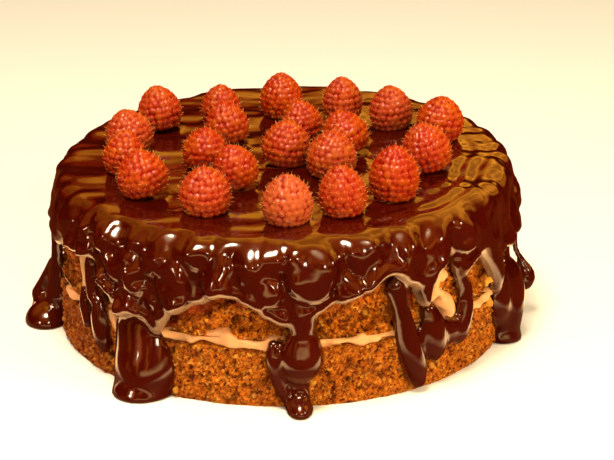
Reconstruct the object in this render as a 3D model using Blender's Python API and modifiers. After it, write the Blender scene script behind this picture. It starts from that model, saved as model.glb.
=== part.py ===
"""Chocolate torte: two crumb layers with cream between them, poured ganache and raspberries on top.

The torte stands on the XY plane with its middle on the Z axis, and its front faces -Y.
Angles round the side are in degrees from the front, and grow towards the right.
"""

import math
import random

import bmesh
import bpy
from mathutils import Matrix, Vector, noise
from mathutils.bvhtree import BVHTree

MM = 0.001
GAP = 0.3 * MM
SEGMENTS = 60

# The cake body
CAKE_RADIUS = 100.0 * MM
LOWER_HEIGHT = 25.0 * MM
CREAM_HEIGHT = 4.0 * MM
CREAM_WAVE = 1.1 * MM
CRUMB_TOP = 72.5 * MM
CRUMB_SHOULDER = 9.0 * MM
CRUMB_TAPER = 1.5 * MM
RISE_TO_BACK = 0.050
RISE_TO_RIGHT = 0.022
LOWER_CRAGS = 1.3 * MM
UPPER_CRAGS = 3.6 * MM
CRAG_SIZE = 9.0 * MM
CREVICE_HEIGHT = 36.5 * MM
CREVICE_WIDTH = 3.6 * MM
CREVICE_DEPTH = 4.5 * MM

# The poured ganache
GANACHE_THICKNESS = 4.0 * MM
GANACHE_RADIUS = 103.4 * MM
GANACHE_SHOULDER = 9.0 * MM
LIP_SWELL = 1.0 * MM
DRAPE_SEGMENTS = 300
DRAPE_ROWS = 14
VOXEL = 1.5 * MM
GANACHE_TRIANGLES = 5500
POUR_WAVE = 0.5 * MM

# Height in mm of the ganache's lower edge, at angles across the front
EDGE = (
    (-78, 50), (-68, 53), (-60, 50), (-52, 52), (-46, 44), (-41, 31), (-35, 35), (-30, 28),
    (-25, 38), (-19, 43), (-13, 49), (-8, 45), (-3, 40), (1, 36.5), (5, 38.5), (8, 41.5),
    (13, 45), (19, 49), (26, 55), (31, 49), (35, 38), (38, 53), (43, 58), (48, 47), (52, 50),
    (58, 52), (66, 46),
)
BACK_EDGE = 46.0

# Drips as (angle, height in mm, how far it stands proud, half its width), from the top down
FRONT_DRIPS = (
    # the broad tongue at the front left, pooled where it meets the table
    ((-37, 38, 2, 8), (-37.5, 32, 3, 10), (-36.5, 24, 6, 12),
     (-35, 15, 9, 14.5), (-34.5, 8, 12, 14.5), (-34.5, 0, 12.5, 12.5)),
    # the front middle drip: a neck and a swollen bulb, with two legs under it
    ((5, 48, 5.4, 8), (5, 43, 7.2, 6.4), (5, 38, 7.8, 4.8), (5, 33, 7.4, 4.4),
     (5, 27.5, 8.6, 7.6), (4.8, 22, 10, 8.6), (4.6, 18, 7, 6)),
    ((-1.5, 28, 3, 2.5), (-1.5, 22, 4.5, 3.5), (-0.5, 14, 4.5, 3.5), (1, 7, 4, 3), (2, 3, 3, 2)),
    ((4.6, 20, 4, 4), (4.6, 13, 4.5, 4), (4.5, 6, 6, 3.6), (4.3, 1.5, 10.5, 4)),
    # the slanting drip at the front right
    ((28, 48, 4, 5), (29, 40, 4.2, 4), (30.5, 30, 4.5, 5),
     (32, 20, 5.5, 6), (33.6, 11, 5.5, 5.5), (34.6, 5, 4, 3.5)),
    # the two-lobed patch to its right, and the run that feeds it
    ((38, 34, 2.5, 4), (39, 27, 4.5, 7), (40, 19, 4.5, 6.5), (40, 15, 3, 5)),
    ((47, 52, 4, 4), (48, 46, 3.5, 3.5), (50, 38, 3, 3.5)),
    ((51, 39, 2.5, 3), (50, 29, 4.5, 5), (48.5, 21, 4.5, 5), (48, 17, 3, 3)),
    ((44.5, 25, 2.5, 4.5), (45, 23, 3.5, 5.5), (45, 20, 3, 5)),
    # the finger and the pooled drip at the right
    ((57, 60, 4, 8), (60, 52, 5.5, 6.5), (63, 44, 6, 5.5), (65.5, 36, 5.5, 4.5), (66, 31, 4, 3)),
    ((74, 54, 4, 5), (74, 42, 3.5, 3.5), (74, 35, 5, 6), (75.5, 28, 9, 9.5),
     (76, 20, 10.5, 10.5), (75.5, 12, 10, 9), (74.5, 4, 9, 8), (74.5, 0, 9, 8)),
    ((70, 33, 4, 5), (69.5, 27, 6, 7), (70, 20, 6.5, 7.5), (71, 13, 5, 5)),
    # the lobe and the short drips at the left
    ((-72, 60, 4.5, 7), (-72, 53, 5.5, 7), (-72, 49, 3.5, 4)),
    ((-56, 34, 2.5, 2.5), (-56, 28, 3.5, 3), (-55, 20, 3, 2.5)),
    ((-53, 48, 3, 3.5), (-52.5, 40, 3.5, 3.5), (-52, 34, 3.5, 3)),
    ((-50, 32, 3, 3), (-49.5, 25, 4.5, 5), (-48.5, 17, 4.5, 4.5), (-48, 13, 3, 3)),
    # the pooled drip at the left
    ((-84, 54, 4, 7), (-85, 42, 4, 4.5), (-86, 32, 4.5, 4), (-87, 22, 6, 6),
     (-88, 12, 8.5, 10), (-88, 5, 13, 14), (-88, 0, 14, 15)),
)

# Folds where the ganache runs over itself on the drape, given as the drips are
FRONT_FOLDS = (
    ((7, 66, 1.2, 8), (7, 62, 3.4, 11), (7, 58, 5.0, 10.5)),
    ((5, 46, 0.8, 4), (5, 42, 2.0, 5), (5, 38, 2.4, 5)),
    ((-2, 69, 1.8, 4), (-2, 65, 3.2, 5), (-2, 60, 2.6, 4.5)),
    ((-7, 62, 1.0, 8), (-7, 57, 2.6, 8), (-6, 51, 2.2, 7)),
    ((-3, 57, 1.2, 6), (-3, 54, 3.4, 6), (-2, 51, 3.0, 5)),
    ((15, 55, 1.0, 5), (15.5, 52, 2.8, 6), (15, 49, 2.6, 5)),
    ((-19, 69, 1.8, 5), (-19, 66, 3.0, 6), (-18, 63, 2.0, 5)),
    ((-15, 61, 1.2, 7), (-14, 56, 3.6, 7.5), (-13, 52, 3.0, 6)),
    ((-27, 60, 1.0, 6), (-25, 52, 3.2, 8), (-24, 45, 4.2, 6.5)),
    ((18, 71, 1.8, 6), (19, 68, 3.0, 7), (19, 63, 2.4, 6)),
    ((24, 62, 1.4, 8), (24, 57, 3.4, 9), (23, 53, 3.0, 8)),
    ((30, 66, 1.0, 6), (31, 60, 3.0, 8), (32, 54, 3.4, 7)),
    ((-31, 65, 1.2, 4), (-31, 61, 3.0, 5.5), (-30, 58, 2.6, 5)),
    ((-36, 58, 1.2, 4), (-36, 54, 3.0, 6), (-35, 49, 3.6, 5.5)),
    ((-42, 62, 1.2, 5), (-42, 57, 3.0, 6), (-41, 52, 3.6, 5.5)),
    ((-46, 69, 1.2, 4), (-46, 66, 2.8, 5), (-46, 62, 2.6, 4)),
    ((-38, 46, 1.5, 5), (-37, 41, 3.4, 7), (-36, 36, 4.0, 6)),
    ((-45, 48, 1.2, 3), (-44, 44, 2.6, 4), (-43, 40, 2.6, 4)),
    ((-54, 66, 1.2, 5), (-53, 61, 3.0, 6), (-52, 57, 3.2, 5)),
    ((-63, 68, 1.2, 6), (-62, 63, 3.0, 7), (-61, 58, 3.0, 6)),
    ((39, 66, 1.2, 6), (38, 60, 3.0, 8), (37, 53, 3.2, 7)),
    ((36, 49, 1.4, 5), (37, 45, 3.0, 7), (37, 41, 3.2, 6)),
    ((48, 70, 1.2, 5), (48, 66, 2.6, 6), (48, 61, 3.0, 5)),
)
SIDE_FOLDS = 22
SIDE_FOLDS_FROM = 56.0
SIDE_FOLDS_TO = 262.0
SIDE_FOLDS_TOP = 66.0
FOLD_SEED = 17

# Strands that hang free of the side, as (angle, height in mm, distance from the side, radius)
FREE_STRANDS = (
    ((86, 60, 1, 4.5), (87, 50, 2.5, 3.2), (88, 41, 3.5, 2.4), (89, 33, 5, 2.0),
     (90, 27, 7.5, 2.6), (90, 19, 9.5, 4.9), (90, 14, 9.2, 3.8)),
    ((-91, 24, 6, 3), (-92, 16, 9, 3.6), (-93, 8, 12, 4.6)),
)

# Drips round the back follow a rule
BACK_DRIPS = 8
BACK_FROM = 104.0
BACK_TO = 256.0
BACK_SEED = 11

# Raspberries as (right, back, width, height, lean to the right, lean to the back), in mm and degrees
RASPBERRIES = (
    (-56, 38, 20.5, 19.5, -8, 4), (-67, 8, 21.5, 18.5, -12, 0), (-69, -18, 18.8, 18.7, 6, 0),
    (-57, -45, 21.9, 18.8, -12, 2), (-29, 45, 18.8, 18.2, 0, 0), (-24, 17, 20.0, 18.6, -10, 4),
    (-34, -13, 20.0, 17.6, 3, 0), (-18, -38, 19.6, 17.8, -13, 0), (-31, -64, 22.2, 19.2, 0, 0),
    (-1, 53, 20.3, 20.4, 0, 0), (10, 16, 18.8, 18.2, -10, 6), (1, -11, 21.8, 19.2, 7, 0),
    (28, 48, 18.8, 19.4, -3, 0), (30, -1, 21.0, 18.8, -18, 3), (21, -26, 21.8, 19.6, 4, 0),
    (3, -76, 21.4, 19.8, 0, 0), (26, -69, 20.2, 20.4, -4, 0), (50, 34, 20.4, 19.4, -4, 0),
    (70, 17, 21.8, 18.8, 8, 0), (64, -22, 22.0, 20.0, -13, 0), (47, -53, 21.5, 22.4, 2, 0),
)
BERRY_COLUMNS = 16
BERRY_RINGS = 10
BERRY_WIDEST = 0.36
BERRY_FOOT = 0.80
BERRY_TWIST = 37.0
DRUPELET_RELIEF = 0.55 * MM


def clear_scene():
    for thing in list(bpy.data.objects):
        bpy.data.objects.remove(thing, do_unlink=True)


def new_collection(name):
    group = bpy.data.collections.new(name)
    bpy.context.scene.collection.children.link(group)
    return group


def finish_material(name, colour, roughness):
    """One plain finish, as a Principled BSDF."""
    material = bpy.data.materials.new(name)
    material.use_nodes = True
    shader = material.node_tree.nodes["Principled BSDF"]
    shader.inputs["Base Color"].default_value = (*colour, 1.0)
    shader.inputs["Roughness"].default_value = roughness
    shader.inputs["Metallic"].default_value = 0.0
    return material


def add_object(name, mesh, group, material=None):
    thing = bpy.data.objects.new(name, mesh)
    group.objects.link(thing)
    if material is not None:
        mesh.materials.clear()
        mesh.materials.append(material)
    return thing


def baked(thing):
    """The mesh of an object with its modifiers carried out."""
    bpy.context.view_layer.update()
    seen = thing.evaluated_get(bpy.context.evaluated_depsgraph_get())
    mesh = bpy.data.meshes.new_from_object(seen)
    mesh.transform(thing.matrix_world)
    return mesh


def on_side(angle, height, radius):
    """A point at an angle from the front, at a height and a distance from the axis."""
    turn = math.radians(angle)
    return Vector((radius * math.sin(turn), -radius * math.cos(turn), height))


def turned_about(axis, angle):
    return Matrix.Rotation(angle, 4, axis)


def angle_of(point):
    return math.degrees(math.atan2(point.x, -point.y))


def rise(point):
    """How much higher the leaning top is over this point than over the axis."""
    return RISE_TO_BACK * point.y + RISE_TO_RIGHT * point.x


def smooth_step(share):
    return share * share * (3.0 - 2.0 * share)


def turned(profile, segments):
    """A closed solid turned from a profile of (radius, height) that starts and ends on the axis."""
    form = bmesh.new()
    line = [form.verts.new((0.0, -radius, height)) for radius, height in profile]
    edges = [form.edges.new(pair) for pair in zip(line, line[1:])]
    bmesh.ops.spin(
        form, geom=line + edges, cent=(0, 0, 0), axis=(0, 0, 1), dvec=(0, 0, 0),
        angle=math.tau, steps=segments, use_merge=True, use_duplicate=False,
    )
    bmesh.ops.remove_doubles(form, verts=form.verts, dist=0.00001)
    bmesh.ops.recalc_face_normals(form, faces=form.faces)
    return form


def to_mesh(form, name):
    mesh = bpy.data.meshes.new(name)
    bmesh.ops.triangulate(form, faces=form.faces)
    form.to_mesh(mesh)
    form.free()
    mesh.shade_smooth()
    mesh.set_sharp_from_angle(angle=math.radians(50))
    return mesh


def cream_line(point):
    """How far the cream's layer waves up or down at a point round the side."""
    return CREAM_WAVE * noise.noise(Vector((point.x, point.y, 0)) / (34 * MM))


def crags(point, depth):
    """How far the broken crumb is set back at a point of the side."""
    coarse = noise.noise(point / CRAG_SIZE)
    fine = noise.noise(point / (0.45 * CRAG_SIZE) + Vector((7, 3, 5)))
    return depth * min(1.0, max(0.0, 0.5 + 0.75 * coarse + 0.45 * fine))


def crevice(point):
    """How far the upper layer goes back along the uneven crack just over the cream."""
    around = Vector((point.x, point.y, 0))
    line = CREVICE_HEIGHT + 3.0 * MM * noise.noise(around / (30 * MM))
    opened = min(1.0, max(0.0, 0.45 + 1.3 * noise.noise(around / (22 * MM) + Vector((4, 1, 8)))))
    return CREVICE_DEPTH * opened * math.exp(-(((point.z - line) / CREVICE_WIDTH) ** 2))


def crumb_layer(rows, wall, top, depth):
    """A crumb layer from its row heights, whose wall goes back where the crumb has broken."""
    profile = [(0.0, rows[0])] + [(wall(height), height) for height in rows] + [(0.0, top)]
    form = turned(profile, SEGMENTS)
    for vertex in form.verts:
        reach = Vector((vertex.co.x, vertex.co.y)).length
        if reach < 0.8 * CAKE_RADIUS:
            continue
        edge_row = vertex.co.z < rows[0] + MM or vertex.co.z > rows[-1] - CRUMB_SHOULDER
        back = crags(vertex.co, 0.35 * depth if edge_row else depth) + crevice(vertex.co)
        vertex.co.x *= (reach - back) / reach
        vertex.co.y *= (reach - back) / reach
    return form


def lower_wall(height):
    """Radius of the lower layer, whose foot is slightly rounded."""
    foot = max(0.0, 1.0 - height / (3 * MM))
    return CAKE_RADIUS - 1.0 * MM * foot * foot


def upper_wall(height):
    """Radius of the upper layer, which tapers a little and rounds into the top."""
    share = (height - LOWER_HEIGHT) / (CRUMB_TOP - LOWER_HEIGHT)
    wall = CAKE_RADIUS - CRUMB_TAPER * share
    into = max(0.0, height - (CRUMB_TOP - CRUMB_SHOULDER))
    return wall - CRUMB_SHOULDER + math.sqrt(max(0.0, CRUMB_SHOULDER ** 2 - into ** 2))


def shift_heights(form, change):
    for vertex in form.verts:
        vertex.co.z += change(vertex.co)


def build_lower_layer(group, material):
    rows = [0.0, 3 * MM, 8 * MM, 14 * MM, 20 * MM, LOWER_HEIGHT]
    form = crumb_layer(rows, lower_wall, LOWER_HEIGHT, LOWER_CRAGS)
    shift_heights(form, lambda co: cream_line(co) * smooth_step(min(1.0, co.z / LOWER_HEIGHT)))
    return add_object("torte_lower", to_mesh(form, "torte_lower"), group, material)


def build_cream(group, material):
    bottom = LOWER_HEIGHT + GAP
    top = LOWER_HEIGHT + CREAM_HEIGHT
    wall = CAKE_RADIUS - 1.0 * MM
    middle = 0.5 * (bottom + top)
    form = turned([(0, bottom), (wall, bottom), (wall, middle), (wall, top), (0, top)], SEGMENTS)
    for vertex in form.verts:
        reach = Vector((vertex.co.x, vertex.co.y)).length
        if reach < 0.5 * CAKE_RADIUS:
            continue
        bulge = 1.6 * MM * noise.noise(vertex.co / (14 * MM) + Vector((2, 9, 4)))
        if abs(vertex.co.z - middle) < 0.2 * MM:
            bulge += 0.7 * MM
        vertex.co.x *= (reach + bulge) / reach
        vertex.co.y *= (reach + bulge) / reach
    shift_heights(form, cream_line)
    return add_object("cream_filling", to_mesh(form, "cream_filling"), group, material)


def upper_rows():
    bottom = LOWER_HEIGHT + CREAM_HEIGHT + GAP
    shoulder = CRUMB_TOP - CRUMB_SHOULDER
    rows = [bottom + (shoulder - bottom) * share for share in (0.0, 0.12, 0.21, 0.31, 0.49, 0.72, 1.0)]
    return rows + [CRUMB_TOP - CRUMB_SHOULDER * share for share in (0.5, 0.134, 0.0)]


def lean_top(form, low, high, level_below):
    """Lean everything above a level, most at the top, and let the cream's wave fade out upwards."""
    def change(co):
        share = min(1.0, max(0.0, (co.z - low) / (high - low)))
        return share * rise(co) + (1.0 - share) * level_below(co)
    shift_heights(form, change)


def build_upper_layer(group, material):
    rows = upper_rows()
    form = crumb_layer(rows, upper_wall, CRUMB_TOP, UPPER_CRAGS)
    lean_top(form, rows[0], CRUMB_TOP, cream_line)
    return add_object("torte_upper", to_mesh(form, "torte_upper"), group, material)


def cake_envelope():
    """The whole cake body without its crags, one gap larger all round: what the ganache lies on."""
    rows = upper_rows()
    profile = [(0.0, -20 * MM), (CAKE_RADIUS + GAP, -20 * MM), (CAKE_RADIUS + GAP, rows[0])]
    profile += [(upper_wall(height) + GAP, height) for height in rows[-4:]]
    profile = [(radius, height + (GAP if height > rows[0] else 0.0)) for radius, height in profile]
    profile += [(0.0, CRUMB_TOP + GAP)]
    form = turned(profile, SEGMENTS)
    lean_top(form, rows[0], CRUMB_TOP + GAP, lambda co: 0.0)
    return form


def edge_height(angle):
    """Height in mm of the ganache's lower edge: measured at the front, a slow wave at the back."""
    first, last = EDGE[0][0], EDGE[-1][0]
    turn = (angle - first) % 360.0 + first
    if turn <= last:
        for (left, low), (right, high) in zip(EDGE, EDGE[1:]):
            if turn <= right:
                return low + (high - low) * smooth_step((turn - left) / (right - left))
    share = (turn - last) / (first + 360.0 - last)
    wave = 5.0 * math.sin(math.radians(turn * 9 + 40)) + 3.0 * math.sin(math.radians(turn * 17))
    back = BACK_EDGE + wave
    ends = EDGE[-1][1] + (EDGE[0][1] - EDGE[-1][1]) * share
    hold = smooth_step(min(1.0, 8.0 * min(share, 1.0 - share)))
    return ends + (back - ends) * hold


def drape_folds():
    """The folds seen at the front, and folds by a seeded rule round the rest of the drape."""
    draw = random.Random(FOLD_SEED)
    folds = list(FRONT_FOLDS)
    for index in range(SIDE_FOLDS):
        share = (index + draw.uniform(0.2, 0.8)) / SIDE_FOLDS
        angle = SIDE_FOLDS_FROM + (SIDE_FOLDS_TO - SIDE_FOLDS_FROM) * share
        low = edge_height(angle) + draw.uniform(2.0, 8.0)
        high = min(SIDE_FOLDS_TOP, low + draw.uniform(8.0, 16.0))
        half_width = draw.uniform(4.5, 8.0)
        proud = draw.uniform(1.4, 2.6)
        drift = draw.uniform(-4.0, 4.0)
        folds.append((
            (angle + drift, high, 0.5 * proud, 0.8 * half_width),
            (angle + 0.4 * drift, 0.5 * (low + high), proud, half_width),
            (angle, low, 1.2 * proud, 0.8 * half_width),
        ))
    return folds


def fold_lift(folds, angle, height):
    """How far in mm the folds lift the drape at a place: each is a flat dome along its own line."""
    lift = 0.0
    per_degree = math.radians(1.0) * GANACHE_RADIUS / MM
    for fold in folds:
        for start, end in zip(fold, fold[1:]):
            along = ((start[0] - angle + 180.0) % 360.0 - 180.0) * per_degree
            line = Vector(((end[0] - start[0]) * per_degree, end[1] - start[1]))
            away = Vector((-along, height - start[1]))
            share = min(1.0, max(0.0, away.dot(line) / line.length_squared))
            proud, half_width = (start[key] + (end[key] - start[key]) * share for key in (2, 3))
            gap = (away - line * share).length / half_width
            if gap < 1.0:
                lift = max(lift, proud * math.sqrt(1.0 - gap ** 3))
    return lift


def ganache_cap():
    """The poured cap: a flat top, a round shoulder and a folded drape down to its own lower edge."""
    top = CRUMB_TOP + GANACHE_THICKNESS
    shoulder = GANACHE_SHOULDER
    profile = [(0.0, top), (0.5 * CAKE_RADIUS, top)]
    for step in range(6):
        turn = math.radians(90 * step / 5)
        across = GANACHE_RADIUS - shoulder + shoulder * math.sin(turn)
        profile.append((across, top - shoulder + shoulder * math.cos(turn)))
    drape_top = top - shoulder
    for row in range(1, DRAPE_ROWS + 1):
        share = row / DRAPE_ROWS
        profile.append((GANACHE_RADIUS + LIP_SWELL * smooth_step(share), -0.95 * share))
    profile += [(GANACHE_RADIUS - LIP_SWELL, -1.0)]
    profile += [(CAKE_RADIUS - 3 * MM, -0.93), (0.5 * CAKE_RADIUS, -0.8), (0.0, -0.8)]
    form = turned(profile, DRAPE_SEGMENTS)
    folds = drape_folds()
    for vertex in form.verts:
        angle = angle_of(vertex.co)
        outer = math.hypot(vertex.co.x, vertex.co.y) > GANACHE_RADIUS - 0.6 * shoulder
        if vertex.co.z >= 0.0:
            share = min(1.0, vertex.co.z / top)
            vertex.co.z += rise(vertex.co) * share
            vertex.co.z += POUR_WAVE * noise.noise(Vector((vertex.co.x, vertex.co.y, 0)) / (30 * MM))
        else:
            edge = edge_height(angle) * MM
            start = drape_top + rise(vertex.co)
            vertex.co.z = start + (edge - start) * -vertex.co.z
        if outer:
            vertex.co += on_side(angle, 0.0, fold_lift(folds, angle, vertex.co.z / MM) * MM)
    return form


def swept(points):
    """A round tube through (place, radius) points, with rounded ends, as a closed mesh."""
    line = bpy.data.curves.new("flow", "CURVE")
    line.dimensions = "3D"
    line.bevel_depth = MM
    line.bevel_resolution = 4
    line.use_fill_caps = True
    line.resolution_u = 6
    run = line.splines.new("NURBS")
    run.points.add(len(points) - 1)
    for point, (place, radius) in zip(run.points, points):
        point.co = (*place, 1.0)
        point.radius = radius / MM
    run.order_u = 3
    run.use_endpoint_u = True
    holder = bpy.data.objects.new("flow", line)
    bpy.context.scene.collection.objects.link(holder)
    mesh = baked(holder)
    bpy.data.objects.remove(holder, do_unlink=True)
    form = bmesh.new()
    form.from_mesh(mesh)
    for place, radius in (points[0], points[-1]):
        bmesh.ops.create_uvsphere(
            form, u_segments=12, v_segments=8, radius=radius, matrix=Matrix.Translation(place)
        )
    bmesh.ops.remove_doubles(form, verts=form.verts, dist=0.00001)
    return form


def drip_points(drip):
    """Tube centres and radii that give each point of a drip its width and how far it stands proud."""
    points = []
    for angle, height, proud, half_width in drip:
        radius = (proud ** 2 + half_width ** 2) / (2 * proud)
        place = on_side(angle, height * MM, CAKE_RADIUS + (proud - radius) * MM)
        points.append((place, radius * MM))
    return points


def strand_points(strand):
    return [
        (on_side(angle, height * MM, CAKE_RADIUS + out * MM), radius * MM)
        for angle, height, out, radius in strand
    ]


def back_drips():
    """Drips of uneven length and width, spread round the side that faces away."""
    draw = random.Random(BACK_SEED)
    drips = []
    for index in range(BACK_DRIPS):
        share = (index + 0.5 + draw.uniform(-0.25, 0.25)) / BACK_DRIPS
        angle = BACK_FROM + (BACK_TO - BACK_FROM) * share
        half_width = draw.uniform(3.8, 6.5)
        foot = draw.choice((0, 8, 14, 22, 28))
        start = edge_height(angle) + 5
        drip = []
        for step in range(5):
            down = step / 4
            height = start + (foot - start) * down
            drift = 2.0 * math.sin(3 * down + index)
            proud = 4.0 + 1.5 * down + (2.0 if foot == 0 and step == 4 else 0.0)
            drip.append((angle + drift, height, proud, half_width * (0.8 + 0.3 * down)))
        drips.append(tuple(drip))
    return drips


def join_forms(forms, name):
    """Several closed forms in one mesh, still as separate bodies."""
    whole = bmesh.new()
    for form in forms:
        piece = bpy.data.meshes.new("piece")
        form.to_mesh(piece)
        form.free()
        whole.from_mesh(piece)
        bpy.data.meshes.remove(piece)
    mesh = bpy.data.meshes.new(name)
    whole.to_mesh(mesh)
    whole.free()
    return mesh


def cut_away(thing, cutter):
    cut = thing.modifiers.new("cut_" + cutter.name, "BOOLEAN")
    cut.operation = "DIFFERENCE"
    cut.solver = "EXACT"
    cut.object = cutter


def build_ganache(group, cutters, material):
    """The cap and every drip run together into one skin, cut where the cake and the table are."""
    drips = [drip_points(drip) for drip in FRONT_DRIPS + tuple(back_drips())]
    strands = [strand_points(strand) for strand in FREE_STRANDS]
    forms = [ganache_cap()] + [swept(points) for points in drips + strands]
    thing = add_object("ganache", join_forms(forms, "ganache"), group)
    fuse = thing.modifiers.new("fuse", "REMESH")
    fuse.mode = "VOXEL"
    fuse.voxel_size = VOXEL
    relax = thing.modifiers.new("relax", "SMOOTH")
    relax.factor = 0.5
    relax.iterations = 3
    fused = baked(thing)
    fused.calc_loop_triangles()
    thing.modifiers.clear()
    thing.data = fused
    thin = thing.modifiers.new("thin", "DECIMATE")
    thin.ratio = GANACHE_TRIANGLES / len(fused.loop_triangles)

    cake = add_object("cake_space", to_mesh(cake_envelope(), "cake_space"), cutters)
    slab = bmesh.new()
    bmesh.ops.create_cube(slab, size=1.0)
    slab.transform(Matrix.Translation((0, 0, -20 * MM)) @ Matrix.Diagonal((0.4, 0.4, 0.04, 1.0)))
    table = add_object("table_space", to_mesh(slab, "table_space"), cutters)
    for cutter in (cake, table):
        cutter.hide_render = True
        cutter.display_type = "WIRE"
        cut_away(thing, cutter)
    shape = baked(thing)
    thing.modifiers.clear()
    thing.data = shape
    shape.materials.clear()
    shape.materials.append(material)
    shape.shade_smooth()
    return thing


def berry_profile(share):
    """Radius of a berry, as a share of its widest, from its foot to its tip."""
    if share < BERRY_WIDEST:
        fall = (BERRY_WIDEST - share) / BERRY_WIDEST
        return 1.0 - (1.0 - BERRY_FOOT) * fall ** 2.2
    climb = (share - BERRY_WIDEST) / (1.0 - BERRY_WIDEST)
    return (1.0 - climb ** 2.1) ** 0.62


def berry_form(width, height):
    """A raspberry standing on its foot, with drupelets as staggered peaks over its surface."""
    form = bmesh.new()
    bmesh.ops.create_uvsphere(form, u_segments=BERRY_COLUMNS, v_segments=BERRY_RINGS, radius=1.0)
    valleys = set()
    for vertex in form.verts:
        polar = math.acos(max(-1.0, min(1.0, -vertex.co.z)))
        ring = round(polar / math.pi * BERRY_RINGS)
        if ring in (0, BERRY_RINGS):
            vertex.co = (0.0, 0.0, height * (ring / BERRY_RINGS))
            continue
        share = (ring - 1) / (BERRY_RINGS - 1)
        turn = math.atan2(vertex.co.y, vertex.co.x)
        column = round(turn / math.tau * BERRY_COLUMNS)
        radius = 0.5 * width * berry_profile(share)
        if (ring + column) % 2:
            valleys.add(vertex)
            radius -= DRUPELET_RELIEF
        else:
            radius += 0.4 * DRUPELET_RELIEF
        vertex.co = (radius * math.cos(turn), radius * math.sin(turn), height * share)
    for face in list(form.faces):
        corners = [vertex for vertex in face.verts if vertex in valleys]
        if len(face.verts) == 4 and len(corners) == 2:
            bmesh.utils.face_split(face, corners[0], corners[1])
    return form


def seat_height(form, ground):
    """How far a berry is lifted to stand one gap clear of the ganache under it."""
    lift = -1.0
    down = Vector((0, 0, -1))
    for vertex in form.verts:
        hit = ground.ray_cast(vertex.co + Vector((0, 0, 0.2)), down)
        if hit[0] is not None:
            lift = max(lift, hit[0].z - vertex.co.z)
    return lift + GAP


def build_raspberries(group, ganache, material):
    ground = BVHTree.FromPolygons(
        [vertex.co for vertex in ganache.data.vertices],
        [tuple(face.vertices) for face in ganache.data.polygons],
    )
    slope = turned_about("X", math.atan(RISE_TO_BACK)) @ turned_about("Y", -math.atan(RISE_TO_RIGHT))
    for index, (right, back, width, height, lean_right, lean_back) in enumerate(RASPBERRIES, 1):
        name = f"raspberry_{index:02d}"
        form = berry_form(width * MM, height * MM)
        lean = turned_about("Y", math.radians(lean_right)) @ turned_about("X", math.radians(-lean_back))
        turn = slope @ lean @ turned_about("Z", math.radians(BERRY_TWIST * index))
        seated = form.copy()
        seated.transform(Matrix.Translation((right * MM, back * MM, 0)) @ turn)
        height_over_table = seat_height(seated, ground)
        seated.free()
        berry = add_object(name, to_mesh(form, name), group, material)
        berry.location = (right * MM, back * MM, height_over_table)
        berry.rotation_euler = turn.to_euler()


def build():
    clear_scene()
    group = new_collection("chocolate_torte")
    cutters = new_collection("cutters")
    crumb = finish_material("crumb", (0.30, 0.12, 0.03), 0.85)
    cream = finish_material("cream", (0.80, 0.58, 0.38), 0.45)
    chocolate = finish_material("chocolate_ganache", (0.055, 0.012, 0.005), 0.12)
    red = finish_material("raspberry_red", (0.55, 0.02, 0.02), 0.35)
    build_lower_layer(group, crumb)
    build_cream(group, cream)
    build_upper_layer(group, crumb)
    ganache = build_ganache(group, cutters, chocolate)
    build_raspberries(group, ganache, red)


build()
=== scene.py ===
"""Chocolate torte: crumb layers, cream, poured ganache and raspberries, on a plain pale stage.

Lengths inside the modelling functions are in millimetres and are made metres when a mesh is written.
The torte's front faces -Y, and angles round its side are in degrees from the front, growing to the right.
"""

import math
import random

import bpy
import numpy as np
import openvdb
from mathutils import Matrix, Vector, noise


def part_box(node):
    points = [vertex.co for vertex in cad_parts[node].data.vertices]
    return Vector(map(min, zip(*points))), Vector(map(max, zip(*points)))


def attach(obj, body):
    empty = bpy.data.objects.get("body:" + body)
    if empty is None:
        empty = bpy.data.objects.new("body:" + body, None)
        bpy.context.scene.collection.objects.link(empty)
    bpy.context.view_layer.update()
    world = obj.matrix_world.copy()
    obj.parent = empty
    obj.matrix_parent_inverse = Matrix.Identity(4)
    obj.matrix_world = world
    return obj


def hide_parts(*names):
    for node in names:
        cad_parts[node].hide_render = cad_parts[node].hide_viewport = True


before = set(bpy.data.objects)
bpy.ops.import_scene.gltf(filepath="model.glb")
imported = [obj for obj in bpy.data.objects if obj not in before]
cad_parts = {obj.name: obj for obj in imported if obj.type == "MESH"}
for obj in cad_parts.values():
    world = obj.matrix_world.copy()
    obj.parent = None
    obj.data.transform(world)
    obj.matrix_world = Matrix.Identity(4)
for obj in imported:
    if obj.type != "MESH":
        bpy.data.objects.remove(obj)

bl_info = {
    "name": "Chocolate Torte",
    "version": (1, 0, 0),
    "blender": (4, 5, 0),
    "location": "View3D > Sidebar > Torte",
    "description": "Dresses the solid torte with crumb, cream, ganache, raspberries and a stage",
    "category": "Object",
}

MM = 0.001

# The cake body, as the solids have it
CAKE_RADIUS = 100.0
CREAM_BOTTOM = 25.3
CREAM_TOP = 29.0
CREAM_WAVE = 1.1
UPPER_BOTTOM = 29.3
CRUMB_TOP = 72.5
CRUMB_SHOULDER = 9.0
CRUMB_TAPER = 1.5
RISE_TO_BACK = 0.050
RISE_TO_RIGHT = 0.022
LOWER_CRAGS = 1.3
UPPER_CRAGS = 3.6
CRAG_SIZE = 9.0
END_CRAGS = 0.35
CREVICE_HEIGHT = 36.5
CREVICE_WIDTH = 3.6
CREVICE_DEPTH = 5.5
# Below the drape's edge the crumb is set back and darkened there with painted shadow; a patch round the left
# side is darkened with painted shade
UNDER_LIP_REACH = 3.6
UNDER_LIP_SETBACK = 2.2
DARK_SIDE_ANGLE = -62.0
DARK_SIDE_REACH = 24.0
DARK_SIDE_SHARE = 0.45

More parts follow.
